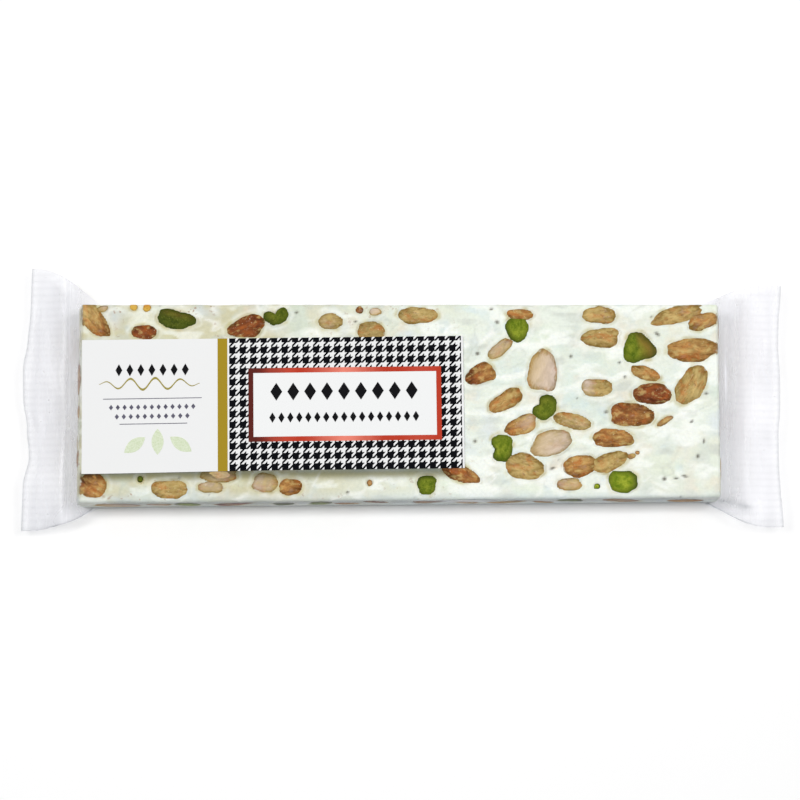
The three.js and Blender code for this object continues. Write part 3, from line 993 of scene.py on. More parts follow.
def pebbles(nuts, rise, wrinkle):
    """Points of all nuts, as (nut, ring, step round, axis). Over the face the height grows from
    just under the nougat with (1 - share cubed), plus wrinkles that run along the nut; under it
    the rings close like a bowl. As the nougat is uneven, it laps over the edge in a ragged line."""
    along, across = outline(nuts[:, None], ROUND_NUT[None, :])
    share = np.concatenate([[0.0], FACE_RINGS, SUNK_RINGS[:, 0], [0.0]])
    x = LONGER * along[:, None, :] * share[None, :, None]
    y = WIDER * across[:, None, :] * share[None, :, None]
    seed = np.broadcast_to(nuts["seed"][:, None, None], x.shape)
    fibres = soft_noise(np.stack([x, y, seed * 7.7], axis=-1), [4.5, 0.8, 1.0], 91)
    lumps = soft_noise(np.stack([x, y, seed * 3.1], axis=-1), [3.5, 2.5, 1.0], 95)
    dome = (1 - share**3)[None, :, None]
    inner = (1 - share**2)[None, :, None]
    face_height = dome * (rise + NUT_SINKS) - NUT_SINKS
    face_height = face_height + inner * wrinkle * (fibres + 0.8 * lumps)
    drop = np.concatenate([np.zeros(1 + len(FACE_RINGS)), SUNK_RINGS[:, 1], [1.0]])
    height = np.where(drop[None, :, None] > 0, -NUT_DEPTH * drop[None, :, None], face_height)
    local = np.stack([x, y, height], axis=-1)
    world = np.einsum("nrsk,nkj->nrsj", local, nuts["axes"]) + nuts["middle"][:, None, None, :]
    out = nuts["axes"][:, 2]
    own_face = np.where(np.abs(out) > 0.5, STANDS_OUT, -CUT_BACK)
    own_face[:, 2] = np.where(out[:, 2] > 0.5, TOP_STANDS_OUT, own_face[:, 2])
    reach = (HALF + own_face)[:, None, None, :]
    return np.clip(world, slab_middle - reach, slab_middle + reach), local, share


def pebble_piece(name, nuts, rise, wrinkle):
    """One mesh for all nuts of a kind, with the numbers that its finish reads."""
    world, local, share = pebbles(nuts, rise, wrinkle)
    count, rings = world.shape[:2]
    one = grid_faces(rings, AROUND, closed=True)
    first = np.arange(count)[:, None, None] * rings * AROUND
    faces = (one[None] + first).reshape(-1, 4)
    piece = new_piece(name, settle(world.reshape(-1, 3)), faces.tolist())
    shape = (count, rings, AROUND)
    give(piece, "outness", np.broadcast_to(share[None, :, None], shape).ravel())
    # lean picks one side of each nut: the almond skin is painted darker there as shade, and flesh
    # and pistachio skin take their own colours there
    lean = share[None, :, None] * np.cos(ROUND_NUT - 1.9 * nuts["seed"][:, None, None])
    give(piece, "lean", lean.ravel())
    along = 2 * local[..., 0] / nuts["length"][:, None, None]
    for field in ("tone", "pale"):
        values = nuts[field][:, None, None] + nuts[field + "_grows"][:, None, None] * along
        give(piece, field, values.ravel())
    give(piece, "skin", np.broadcast_to(nuts["skin"][:, None, None], shape).ravel())
    shift = np.stack([nuts["seed"] * 23.7, nuts["seed"] * 11.3], axis=-1)
    pattern = local[..., :2] + shift[:, None, None, :] % 997
    give_pattern(piece, pattern.reshape(-1, 2))
    weld(piece)
    return piece


almond_piece = pebble_piece("almonds", almonds, ALMOND_RISE, WRINKLE)
pistachio_piece = pebble_piece("pistachios", pistachios, PISTACHIO_RISE, 0.4 * WRINKLE)
for piece in (almond_piece, pistachio_piece):
    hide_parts("film_pack")
    print(piece.name, len(piece.data.polygons), "faces")

# %% [markdown]
# An almond's skin is papery and wrinkled along the nut: dark lines, tan ridges, and a redder or
# more golden ground from nut to nut. One painted skin would repeat on all of them, so noise
# patterns make it, on each nut's own axes. They are drawn out along the nut and wander a little.

# %% Patterns of an almond
STRAY = 2.5  # millimetres

almond = Finish("almond skin", Roughness=0.6, Specular_IOR_Level=0.06)
spot = almond.add("UVMap", uv_map="pattern")
wander = almond.add("TexNoise", out=1, inputs={"Vector": spot, "Scale": 0.25, "Detail": 2.0})
inputs = {0: wander, 1: (STRAY, STRAY, 0), 2: spot}
bent = almond.add("VectorMath", operation="MULTIPLY_ADD", inputs=inputs)
fibres = almond.grain(bent, 1.0, roughness=0.5, stretch=(0.3, 1.3, 1.0))
blotches = almond.grain(bent, 1.0, stretch=(0.22, 0.35, 1.0))
clouds = almond.grain(bent, 1.0, detail=2.0, stretch=(0.24, 0.5, 1.0))
pores = almond.grain(bent, 1.0, stretch=(0.8, 1.7, 1.0))
patches = almond.grain(spot, 1.1, stretch=(0.3, 0.42, 1.0))
crumbs = almond.grain(spot, 1.3)
outness, lean, pale = (almond.read(name) for name in ("outness", "lean", "pale"))
ragged = almond.plus(outness, almond.between(pores, 0.3, 0.7, -0.08, 0.08))
print("almond patterns:", len(almond.tree.nodes), "nodes")

# %% [markdown]
# The skin has three grounds, golden, brown and red, between which a nut's tone chooses. Each goes
# from dark to light with the clouds and fibres, and with a painted shade of the dome: lightest in
# the middle of the face, darker towards the edge and on one side. Blotches, worn patches, dark
# lines, crumbs of nougat and a duller rim lie over it. The rim is partly the skin's own darker
# edge and partly painted shade where the dome turns away.

# %% Skin of an almond
# the dark and the light of each ground
GOLDEN = (120, 96, 38), (206, 178, 114)
BROWN = (100, 58, 18), (200, 152, 88)
RED = (66, 26, 10), (146, 82, 44)

tone = almond.plus(almond.read("tone"), almond.between(patches, 0.35, 0.65, -0.14, 0.14))
# painted shade of the dome: low in the middle of the face, high at its edge and on the side where
# lean is high
dome_shade = almond.plus(almond.times(outness, outness), almond.times(lean, 0.5))
by_clouds = almond.between(clouds, 0.38, 0.62, 0.0, 0.45)
by_fibres = almond.between(fibres, 0.36, 0.64, 0.0, 0.26)
# the skin's lightness: by clouds and fibres, and by the painted dome shade
light = almond.plus(almond.plus(by_clouds, by_fibres), almond.between(dome_shade, 1.1, 0.0, -0.18, 0.36))
golden, brown, red = (almond.mix(light, ink(*a), ink(*b)) for a, b in (GOLDEN, BROWN, RED))
skin = almond.mix(almond.between(tone, 0.12, 0.55), golden, brown)
skin = almond.mix(almond.between(tone, 0.55, 0.95), skin, red)
lines = almond.between(pores, 0.46, 0.37)
lines = almond.times(lines, almond.between(patches, 0.42, 0.58, 0.02, 0.5))
lines = almond.times(lines, almond.between(tone, 0.9, 0.5, 0.35, 1.0))
# a darker rim, partly the skin's own edge and partly painted shade where the dome turns away
rim = almond.between(ragged, 0.7, 0.96)
rim = almond.times(rim, almond.between(clouds, 0.6, 0.3, 0.25, 0.75))
skin_layers = [
    (almond.between(tone, 0.05, -0.15, 0.0, 0.6), (150, 132, 84)),  # dull, at a tone under 0
    (almond.between(tone, -0.3, -0.9), (214, 172, 74)),  # yellow, at one far under 0
    (almond.between(blotches, 0.5, 0.66, 0.0, 0.5), (184, 100, 40)),
    (almond.between(patches, 0.46, 0.34, 0.0, 0.5), (206, 182, 118)),
    (lines, (100, 56, 18)),
    (almond.between(crumbs, 0.65, 0.71, 0.0, 0.7), (226, 212, 176)),
    (rim, (116, 92, 36)),
]
skin = almond.layered(skin, skin_layers)
print("almond skin:", len(skin_layers), "layers over three grounds")

# %% [markdown]
# Some almonds were cut through, or lie under a thin veil of nougat. Their face is pale flesh with
# a darker ring at the edge. All round, a ragged crust of nougat covers the outermost part.

# %% Flesh and crust of an almond
veil = almond.plus(pale, almond.between(patches, 0.3, 0.7, -0.25, 0.25))
veil = almond.times(veil, almond.between(ragged, 0.96, 0.66, 0.2, 1.0))
flesh = almond.mix(almond.between(lean, -0.8, 0.8), ink(212, 188, 142), ink(230, 212, 200))
# the flesh takes the same grain and painted dome shade
flesh = almond.mix(light, almond.mix(0.5, flesh, ink(160, 140, 110)), flesh)
edge_ring = almond.plus(ragged, almond.times(lean, -0.2))
flesh = almond.mix(almond.between(edge_ring, 0.66, 0.98, 0.0, 0.85), flesh, ink(160, 134, 82))
face = almond.mix(almond.between(veil, 0.12, 0.9, 0.0, 0.92), skin, flesh)
crusted = almond.plus(outness, almond.between(patches, 0.35, 0.65, -0.12, 0.12))
crust_layers = [
    (almond.between(pale, 1.0, 1.5, 0.0, 0.8), (208, 210, 198)),
    (almond.between(crusted, 0.92, 1.06, 0.0, 0.8), (224, 226, 206)),
]
face = almond.layered(face, crust_layers)
height = almond.plus(fibres, almond.times(pores, 0.8))
almond.set(Base_Color=face, Normal=almond.bump(height, 0.0002))
almond.put_on(almond_piece, "almond")
print("almond finish:", len(almond.tree.nodes), "nodes")

# %% [markdown]
# A pistachio is dark green where its thin skin is left, which is mostly at the edge, and bright
# yellow-green where the knife went through. On some nuts brown skin is left on one side.

# %% Pistachio finish


def pistachio_finish():
    """Deep and bright green, mixed by the nut's tone, with specks, brown skin and a dark rim."""
    finish = Finish("pistachio", Roughness=0.6, Specular_IOR_Level=0.06)
    spot = finish.add("UVMap", uv_map="pattern")
    mottle = finish.grain(spot, 1.0, detail=4.0, stretch=(0.35, 0.45, 1.0))
    fine = finish.grain(spot, 1.8)
    lean = finish.read("lean")
    shade = finish.between(mottle, 0.36, 0.64)
    deep = finish.mix(shade, ink(54, 66, 10), ink(92, 100, 28))
    bright = finish.mix(shade, ink(100, 124, 16), ink(160, 172, 50))
    skin = finish.times(finish.read("skin"), finish.between(lean, -0.1, 0.4))
    wavy = finish.between(mottle, 0.3, 0.7, -0.14, 0.14)
    outness = finish.plus(finish.read("outness"), wavy)
    outness = finish.plus(outness, finish.times(lean, 0.12))
    layers = [
        (finish.between(fine, 0.58, 0.72, 0.0, 0.35), (178, 180, 84)),
        (finish.between(fine, 0.44, 0.32, 0.0, 0.5), (58, 76, 6)),
        (skin, (134, 104, 44)),
        (finish.between(outness, 0.5, 0.98, 0.0, 0.9), (46, 60, 6)),
    ]
    face = finish.layered(finish.mix(finish.read("tone"), deep, bright), layers)
    finish.set(Base_Color=face, Normal=finish.bump(mottle, 0.0006))
    return finish


pistachio_finish().put_on(pistachio_piece, "pistachio")
print("nuts are painted")

# %% [markdown]
# ## The film
#
# The wrap is a tube of clear film drawn tight round the slab, flattened beyond its ends and
# crimped. It is made as one closed surface: a top sheet and a bottom sheet on the same grid,
# which meet along the tube's two sides. Over the slab the section is a square with round
# corners. Towards an end it changes into a flat lens, while its height falls to the crimp and
# its width grows, because the length round the tube stays the same.

# %% Columns and stations of the film
FILM_GAP = 0.17  # between the film and the slab's top and underside
FILM_BESIDE = 0.25  # and beside its long sides
FILM_OVER_NUTS = 0.2
SEAL_HALF = 0.10  # half the thickness of the crimp
LEAVES_SLAB = 6.0  # how far before the slab's end the film leaves it
OPENS_OVER = 24.0  # and over what distance it then gets its full width
FLAT_HALF = HALF[1] - 2.0
FLAT_SHARE = 0.78  # the flat part's share of the width, where the cut edge is laid out
FLAT_STEPS, SIDE_STEPS = 84, 12
STATIONS = (8, 22, 34)  # before the slab's end, over the shoulder and over the crimp
# way, length of the shoulder, half width of the crimp, how far its middle is to +Y of the
# slab's, and how far the cut edge is from the slab, from -Y to +Y
LEFT_END = (-1, 6.5, 46.0, 2.25, [21.1, 20.6, 18.7, 19.7, 21.1, 21.2, 19.9, 19.2, 18.7])
RIGHT_END = (1, 9.5, 42.4, -0.15, [22.6, 21.8, 21.5, 21.5, 22.1, 22.3, 22.0, 22.2, 23.3])


def across_the_film():
    """Where each column of the sheets lies: its share of the flat part from -1 to 1, and how far
    round the side it is, from 0 at the flat part's edge to 1 where the sheets meet."""
    flat = np.linspace(-1, 1, FLAT_STEPS + 1)
    side = np.linspace(0, 1, SIDE_STEPS + 1)[1:]
    share = np.concatenate([-np.ones(SIDE_STEPS), flat, np.ones(SIDE_STEPS)])
    beyond = np.concatenate([side[::-1], np.zeros(FLAT_STEPS + 1), side])
    return share, beyond


share, beyond = across_the_film()
at_side = np.sign(share) * (FLAT_SHARE + (1 - FLAT_SHARE) * beyond)
across = np.where(beyond > 0, at_side, FLAT_SHARE * share)


def reaches(end):
    """How far each point of an end lies beyond the slab's end, as (station, column): before it,
    over the shoulder, and over the crimp to the cut edge."""
    _, shoulder, _, _, cut = end
    spots = (across + 1) / 2 * (len(cut) - 1)
    whole = np.clip(np.floor(spots).astype(int), 0, len(cut) - 2)
    part = smooth_step(spots - whole, 0, 1)
    edge = np.array(cut)[whole] * (1 - part) + np.array(cut)[whole + 1] * part
    before = np.linspace(-LEAVES_SLAB, 0, STATIONS[0], endpoint=False)
    over = np.linspace(0, shoulder, STATIONS[1], endpoint=False)
    crimp = np.linspace(0, 1, STATIONS[2])[:, None] * (edge - shoulder) + shoulder
    level = np.concatenate([before, over])[:, None] * np.ones(len(across))
    return np.concatenate([level, crimp])


print("columns:", len(share), "stations of an end:", len(reaches(LEFT_END)))

# %% [markdown]
# The side of the tube is a power of a sine and a cosine. A power of 1/6 gives the square corner
# over the slab, and 2 the straight slope of the lens. Beyond the shoulder the crimp droops to the
# table, waves, and has fine ridges from the sealing jaws.

# %% Sections of the film
SQUARE_POWER, STRAIGHT_POWER = 1 / 6, 2
DROOP = 1.6
WAVE_RISE, WAVE_LENGTH = 0.9, 37.0
CRIMP_PITCH, CRIMP_RISE = 2.4, 0.05
# place as a share of the shoulder, width and rise of the creases that run across it
SHOULDER_CREASES = [(0.36, 0.5, 0.22), (0.75, 0.4, 0.18)]


def middle_height(x_beyond, y, flat_place, end):
    """The height midway between the sheets: 0 over the slab, then a droop and a slow wave over
    the width, some unevenness, and the ridges of the seal."""
    way, shoulder = end[:2]
    in_crimp = smooth_step(x_beyond, shoulder - 1.5, shoulder + 9)
    sealed = smooth_step(x_beyond, shoulder + 0.5, shoulder + 2.5)
    middle = in_crimp * (WAVE_RISE * np.sin(2 * pi * (y - HALF[1]) / WAVE_LENGTH + way) - DROOP)
    middle += in_crimp * 0.5 * rich_noise(flat_place, 17.0, 101)
    return middle + sealed * CRIMP_RISE * np.sin(2 * pi * y / CRIMP_PITCH)


def film_sheets(x_beyond, end):
    """Top and bottom sheet over some stations. x_beyond is how far they lie beyond the slab's
    end, and end holds that end's sizes. Each sheet is the middle height plus or minus a half
    height, which falls to the seal's and goes to nothing round the side."""
    way, shoulder, half_width, aside, _ = end
    opened = np.sin(pi / 2 * np.clip((x_beyond + LEAVES_SLAB) / OPENS_OVER, 0, 1))
    closed = np.clip(x_beyond / shoulder, 0, 1)
    half = HALF[1] + FILM_BESIDE + (half_width - HALF[1] - FILM_BESIDE) * opened
    power = SQUARE_POWER + (STRAIGHT_POWER - SQUARE_POWER) * np.clip(1.5 * opened, 0, 1)
    y_side = np.sin(pi / 2 * beyond) ** power
    z_side = np.cos(pi / 2 * beyond) ** power
    x = way * (HALF[0] + x_beyond)
    y = share * FLAT_HALF + np.sign(share) * (half - FLAT_HALF) * y_side + aside * opened
    flat_place = np.stack([x, y, np.zeros_like(x)], axis=-1)
    middle = middle_height(x_beyond, y, flat_place, end)
    height = (HALF[2] + FILM_GAP) * (1 - closed) + SEAL_HALF * closed
    slack = np.sin(pi * np.clip((x_beyond + 4) / (shoulder + 7), 0, 1))
    over = height + slack * (0.35 * soft_noise(flat_place, [9.0, 2.6, 1.0], 111) - 0.1)
    under = height + slack * 0.3 * soft_noise(flat_place, [8.0, 3.0, 1.0], 121)
    for place, width, rise in SHOULDER_CREASES:
        over = over + slack * rise * bell(x_beyond, place * shoulder, width)
    top = middle + np.maximum(over, SEAL_HALF) * z_side
    bottom = middle - np.maximum(under, SEAL_HALF) * z_side
    return np.stack([x, y, top], axis=-1), np.stack([x, y, bottom], axis=-1)


left, right = (film_sheets(reaches(end), end) for end in (LEFT_END, RIGHT_END))
print("lowest part of the ends:", (left[1][..., 2].min() + slab_middle[2]).round(2), "mm up")

# %% [markdown]
# Over the slab the top sheet also climbs over the nuts. It does so by the same outline formula,
# and it stays flat under the label. Both sheets follow the slab's askew front side.

# %% The two sheets from end to end
MIDDLE_PITCH = 1.3


def middle_stations():
    """Stations over the slab, between the two places where the film leaves it."""
    reach = HALF[0] - LEAVES_SLAB
    steps = int(2 * reach / MIDDLE_PITCH)
    return np.linspace(-reach, reach, steps + 1)[1:-1]


def under_label(places, margin):
    """1 under the label and 0 beyond its edge by more than the margin."""
    local = places - label_middle
    over_x = np.abs(local[..., 0]) - (label_high[0] - label_low[0]) / 2
    over_y = np.abs(local[..., 1]) - (label_high[1] - label_low[1]) / 2
    return 1 - smooth_step(np.maximum(over_x, over_y), 0, margin)


station = middle_stations()[:, None] * np.ones(len(share))
centre = film_sheets(np.full_like(station, -LEAVES_SLAB), RIGHT_END)
for sheet in centre:
    sheet[..., 0] = station
    ripple = 0.05 * (1 + soft_noise(sheet * [1, 1, 0], [5.0, 9.0, 1.0], 131))
    sheet[..., 2] += np.sign(sheet[..., 2]) * ripple * (beyond < 0.3)
top_sheet, bottom_sheet = (
    np.concatenate([left[i][::-1], centre[i], right[i]]) + slab_middle for i in (0, 1)
)
flat_top = top_sheet.reshape(-1, 3)
in_top_face = np.abs(all_nuts["middle"][:, 2] - slab_top) < 0.1
film_ratio, _ = nearness(flat_top, all_nuts[in_top_face])
climb = FILM_OVER_NUTS * (1 - smooth_step(film_ratio, 0.75, 1.3)) * (1 - under_label(flat_top, 3))
flat_top[:, 2] += climb * (np.abs(flat_top[:, 0] - slab_middle[0]) < HALF[0])
top_sheet = flat_top.reshape(top_sheet.shape)
for sheet in (top_sheet, bottom_sheet):
    local = sheet - slab_middle
    sheet[..., 1] += askew(local) * (1 - smooth_step(np.abs(local[..., 0]), HALF[0], HALF[0] + 12))
print("each sheet has", *top_sheet.shape[:2], "points along and across")

# %% [markdown]
# The two sheets and a strip round their edge are one closed shell, as a sealed bag is.

# %% The film as one closed surface


def closed_sheets(top, bottom):
    """Points and faces of a closed shell between two sheets of one grid: both sheets, the second
    turned over, and a strip round the whole edge."""
    rows, columns = top.shape[:2]
    count = rows * columns
    faces = grid_faces(rows, columns)
    index = np.arange(count).reshape(rows, columns)
    edge = np.concatenate([index[0], index[1:, -1], index[-1, -2::-1], index[-2:0:-1, 0]])
    following = np.roll(edge, -1)
    rim = np.stack([edge, edge + count, following + count, following], axis=-1)
    points = np.concatenate([top.reshape(-1, 3), bottom.reshape(-1, 3)])
    return points, np.concatenate([faces, faces[:, ::-1] + count, rim]).tolist()


film = new_piece("film", *closed_sheets(top_sheet, bottom_sheet))
reach = top_sheet[..., 0].min().round(1), top_sheet[..., 0].max().round(1)
print("film:", len(film.data.polygons), "faces, x", *reach)

# %% [markdown]
# Film is clear where it lies smooth, and where it is creased it scatters light and looks milky.
# Such folds are finer than a hair. They could be modelled, but would cost more faces than all the
# rest. So each point of the film stores how grey, milky and glossy it is. The grey is painted
# shade: along the front pleat, the cut edge and a fold, under the label's lower edge and over
# the ends. The milk is the creases' haze with painted sheen and highlights over it, on the
# shoulders, on a fold and on the front edge.

# %% Where on the film a point lies


def plateau(value, rise, fall):
    """1 between two smooth steps: up over the first range, and down over the second."""
    return smooth_step(value, *rise) * (1 - smooth_step(value, *fall))


local = top_sheet - slab_middle
from_middle = np.abs(local[..., 0])
past_end = from_middle - HALF[0]
left_half = np.arange(len(local))[:, None] < len(local) / 2
front = share < 0
off_slab = smooth_step(from_middle, HALF[0] - 1, HALF[0] + 6)
near_slab = plateau(past_end, (-1, 1.5), (5.0, 9.0))
shoulder_part = off_slab * (1 - smooth_step(past_end, 5.0, 9.0))
cut_edge = np.where(left_half, from_middle[:1], from_middle[-1:])
near_cut = 0.25 * bell(from_middle, cut_edge, 0.7)
pleat = front * (1 - smooth_step(past_end, -16, -2))
pleat = pleat * (0.8 + 0.2 * soft_noise(top_sheet, [16.0, 9.0, 9.0], 161))
blotches = rich_noise(top_sheet, [3.0, 9.0, 9.0], 171)
creased = bell(rich_noise(top_sheet, [2.2, 22.0, 9.0], 181, 2), 0, 0.08)
print("share of the top sheet off the slab:", (past_end > 0).mean().round(2))

# %% [markdown]
# Each place is a product of bells and smooth steps of how far it lies past the slab's end, how
# far round the tube's side, and along the pack. A list holds them all, and their sum is stored.
# The bottom sheet lies under the nougat or under the top sheet, so it has little of either.

# %% Painted shade, milk with painted sheen, and gloss
below = -across_label(top_sheet)
past_label = smooth_step(np.abs((top_sheet - label_middle)[..., 0]), 65, 67)
fold_line = plateau(past_end, (-3, 1), (9, 13)) * front
side_line = bell(beyond, 1.0, 0.1)
edge_line = side_line * (1 - smooth_step(past_end, 9, 14)) + 0.3 * side_line
painted_shades = [
    # painted shade: a dark line along the slab's front top edge, where the film pleats
    0.5 * pleat * bell(beyond, 0.9, 0.22),  # the pleat along the slab's front edge
    # painted shadow of the label's lower edge
    0.85 * plateau(below, (22.2, 23.2), (23.4, 27.4)) * (1 - past_label),  # below the label
    # painted shade over the ends, blotchy on the shoulders and greyer on the left end
    shoulder_part * 0.14 * blotches + off_slab * 0.13 * left_half,  # the ends
    # painted shade lines along the front edge of the ends
    (0.8 * edge_line + 0.12 * bell(beyond, 1.0, 0.4)) * front * (past_end > -4),  # their front
    # painted shade line beside a fold in the right end
    0.55 * fold_line * bell(beyond, 0.42, 0.09) * ~left_half,  # a fold in the right end
    # painted shade along the cut edge
    near_cut,
]
over_width = np.where(left_half, 0.08, 0.12) * smooth_step(local[..., 1], -14, 32)
front_fold = plateau(past_end, (-5, 1), (8, 13)) * front
hazes_and_sheens = [
    # haze over the ends, and painted sheen along their creases
    (np.where(left_half, 0.08, 0.03) + 0.14 * creased) * off_slab,  # creases across the ends
    # painted light that brightens the shoulders next to the slab, more towards the back
    near_slab * (np.where(left_half, 0.2, 0.22) + over_width) * (1 + 0.5 * blotches),
    # haze along the front pleat
    0.2 * pleat * bell(beyond, 0.9, 0.35),
    # painted highlight along a fold at the front of the left end
    0.25 * front_fold * bell(beyond, 0.72, 0.2) * left_half,
    # painted glint on the right shoulder
    0.75 * bell(local[..., 0], HALF[0] + 2.6, 0.4) * bell(local[..., 1], 8.5, 6.5),  # a shine
    # painted highlight on the film over the slab's front edge
    0.6 * bell(local[..., 0], 23, 8) * bell(beyond, 0.85, 0.12) * front,  # one on the front edge
]
# a clear band in the right end's fold, between two painted shade lines, stands for its highlight
clear_fold = fold_line * bell(beyond, 0.7, 0.12) * ~left_half
grey, milk = sum(painted_shades) * (1 - clear_fold), sum(hazes_and_sheens) * (1 - 0.8 * clear_fold)
low_pleat = pleat * bell(beyond, 1.0, 0.3)
# the bottom sheet: painted shade along the cut edge and the pleat, and a little haze
lower_shade, lower_haze_and_sheen = near_cut + 0.12 * low_pleat, 0.03 * off_slab + 0.1 * low_pleat
gloss = 0.15 + 0.85 * near_slab + 0.15 * smooth_step(past_end, 4, 9)
give(film, "loose", np.tile(off_slab.ravel(), 2))
give(film, "grey", np.clip([grey, lower_shade], 0, 1).ravel())
give(film, "milk", np.clip([milk, lower_haze_and_sheen], 0, 1).ravel())
give(film, "gloss", np.tile(gloss.ravel(), 2))
weld(film, 0.003)
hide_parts("film_pack")
print("mean grey", grey.mean().round(3), "and milk", milk.mean().round(3), "of the top sheet")

# %% [markdown]
# Under the slab the tube's long seam lies folded flat: a strip of film on edge, pressed down.

# %% The back seam
SEAM_WIDTH = 12.0
SEAM_REACH = HALF[0] + 2
SEAM_STEPS = (340, 17)  # along and across
SEAM_UP, SEAM_HALF = 0.14, 0.08  # height of its middle, and half its thickness
RIDGE_PITCH, RIDGE_RISE = 1.3, 0.05


def seam_sheets():
    """Two sheets on a flat grid, with fine ridges across and a slightly wavering free edge."""
    x = np.linspace(-SEAM_REACH, SEAM_REACH, SEAM_STEPS[0])[:, None] * np.ones(SEAM_STEPS[1])
    y = np.linspace(-0.5, 0.5, SEAM_STEPS[1])[None, :] * SEAM_WIDTH * np.ones_like(x)
    flat_place = np.stack([x, y, np.zeros_like(x)], axis=-1)
    y = y + 0.35 * (y > SEAM_WIDTH / 2 - 0.8) * soft_noise(flat_place, [11.0, 50.0, 1.0], 141)
    z = SEAM_UP + RIDGE_RISE * np.sin(2 * pi * x / RIDGE_PITCH)
    top = np.stack([x, y, z + SEAM_HALF], axis=-1) + [*slab_middle[:2], 0]
    return top, top - [0, 0, 2 * SEAM_HALF]


seam = new_piece("back_seam", *closed_sheets(*seam_sheets()))
weld(seam, 0.0001)
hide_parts("film_pack")
print("seam:", len(seam.data.polygons), "faces")

# %% [markdown]
# Clear film is hardly a colour at all. It lets the light through with a very faint lavender
# tint, turns greyer where it is seen on edge, and mirrors the lamps. A glass shader would bend
# the view like a thick block, so the film mixes a transparent shader with a glossy one.

# %% Film finish


def clear_film():
    """Transparent and glossy, mixed by a Fresnel share, with a milky white layer where the creases
    scatter light and where sheen is painted, a darker tint where shade is painted, and in the
    loose ends faint painted shade along the crimp ridges, painted sparkles and dents."""
    finish = Finish("clear film", Roughness=0.5, Specular_IOR_Level=0.2)
    finish.set(Base_Color=(0.9, 0.9, 0.94, 1))
    places = finish.add("TexCoord", out=3)
    loose = finish.read("loose")
    edge_on = finish.add("LayerWeight", out=1, inputs={"Blend": 0.3})
    tint = finish.mix(edge_on, ink(254, 254, 255), ink(250, 250, 253))
    ridges = finish.add("SeparateXYZ", out=1, inputs={0: places})
    ridges = finish.math("SINE", finish.times(ridges, 2 * pi / (CRIMP_PITCH * MM)))
    ridges = finish.times(finish.between(ridges, -1, 1, -0.025, 0.025), loose)
    # painted shade: the stored grey, and faint lines along the crimp ridges, darken the see-through
    # tint
    tint = finish.mix(finish.plus(finish.read("grey"), ridges), tint, ink(186, 190, 193))
    # painted sparkles: white specks in the loose ends
    sparkle = finish.between(finish.grain(places, 800.0, detail=1.0), 0.72, 0.76, 0.0, 0.1)
    # the stored milk with its painted sheen, and the sparkles, turn the film white there
    haze_and_glints = finish.plus(finish.read("milk"), finish.times(sparkle, loose))
    mirrored = finish.between(finish.add("Fresnel", inputs={"IOR": 1.45}), 0.0, 0.4, 0.0, 0.07)
    mirrored = finish.times(mirrored, finish.read("gloss"))
    ripple = finish.bump(finish.grain(places, 110.0, stretch=(1.0, 0.5, 1.0)), 0.00015)
    dents = finish.times(finish.grain(places, 420.0, detail=2.0), loose)
    normal = finish.bump(dents, 0.00008, below=ripple)
    finish.set(Normal=normal)
    through = finish.add("BsdfTransparent", inputs={"Color": tint})
    inputs = {"Color": np.ones(3), "Roughness": 0.16, "Normal": normal}
    shine = finish.add("BsdfGlossy", inputs=inputs)
    whitened = finish.add("MixShader", inputs={0: haze_and_glints, 1: through, 2: finish.shader.outputs[0]})
    both = finish.add("MixShader", inputs={0: mirrored, 1: whitened, 2: shine})
    finish.feed(finish.output.inputs["Surface"], both)
    return finish


clear = clear_film()
clear.put_on(film, "film")
clear.put_on(seam, "film")
print("film is clear")

# %% [markdown]
# ## The label
#
# A plain strip of coated paper, stuck down on the film a hair out of true. It is white at the
# left, then a gold stripe, then a houndstooth field with a red foil frame round a white panel.
# The paper is a closed sheet that follows the film, so that its edges catch a fine shadow.

# %% The paper
LABEL_SIZE = np.array([132.0, 46.0])
LABEL_TURN = radians(0.65)
PAPER_THICK = 0.22
DRAWN_IN, DRAWN_OVER = 0.4, 30  # the left edge lies a little too far right
HANGS, HANGS_OVER = 0.6, 75  # and the lower left corner a little too low


def on_label(u, v, lift=0.0):
    """Places of label coordinates: u from its left edge and v from its lower edge, on top of
    the paper, which waves a little and lifts at its corners."""
    x = u - LABEL_SIZE[0] / 2 + DRAWN_IN * (1 - smooth_step(u, 0, DRAWN_OVER))
    hanging = (1 - smooth_step(u, 0, HANGS_OVER)) * (1 - v / LABEL_SIZE[1])
    y = v - LABEL_SIZE[1] / 2 - HANGS * hanging
    flat_place = np.stack([x, y, np.zeros_like(x)], axis=-1)
    corner = smooth_step(np.abs(x), 58, 66) * smooth_step(np.abs(y), 17, 23)
    wave = 0.05 * soft_noise(flat_place, 14.0, 151) + 0.12 * corner
    c, s = np.cos(LABEL_TURN), np.sin(LABEL_TURN)
    place_x = label_middle[0] + c * x - s * y
    place_y = label_middle[1] + s * x + c * y
    return np.stack([place_x, place_y, label_low[2] + PAPER_THICK + lift + wave], axis=-1)


paper_grid = np.linspace(0, LABEL_SIZE[0], 133), np.linspace(0, LABEL_SIZE[1], 47)
u, v = np.meshgrid(*paper_grid, indexing="ij")
paper_top = on_label(u, v)
paper = new_piece("label_paper", *closed_sheets(paper_top, paper_top - [0, 0, PAPER_THICK]))
paper.data.shade_flat()
pattern = np.stack([u, v], axis=-1).reshape(-1, 2)
give_pattern(paper, np.concatenate([pattern, pattern]))
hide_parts("label")
print("paper:", len(paper.data.polygons), "faces")

# %% [markdown]
# The print is worked out by the shader from the place on the label, in millimetres. Houndstooth
# is a weave: four black and four white threads each way in a two-over-two twill. Which thread
# lies on top changes along diagonals, and the top thread gives its colour.

# %% The print
PANEL_END = 47.2
STRIPE_END = 50.6
CHECK_START, CHECK_END = 51.2, 131.3
CHECK = (3.62, 3.70)  # one repeat of the houndstooth, along and across the label
DARK_SHARE = 0.6  # how much of a repeat is dark thread, a bit over half as the ink spreads
FRAME = (57.8, 9.9, 124.3, 35.5)  # outer edges of the foil frame: left, low, right, high


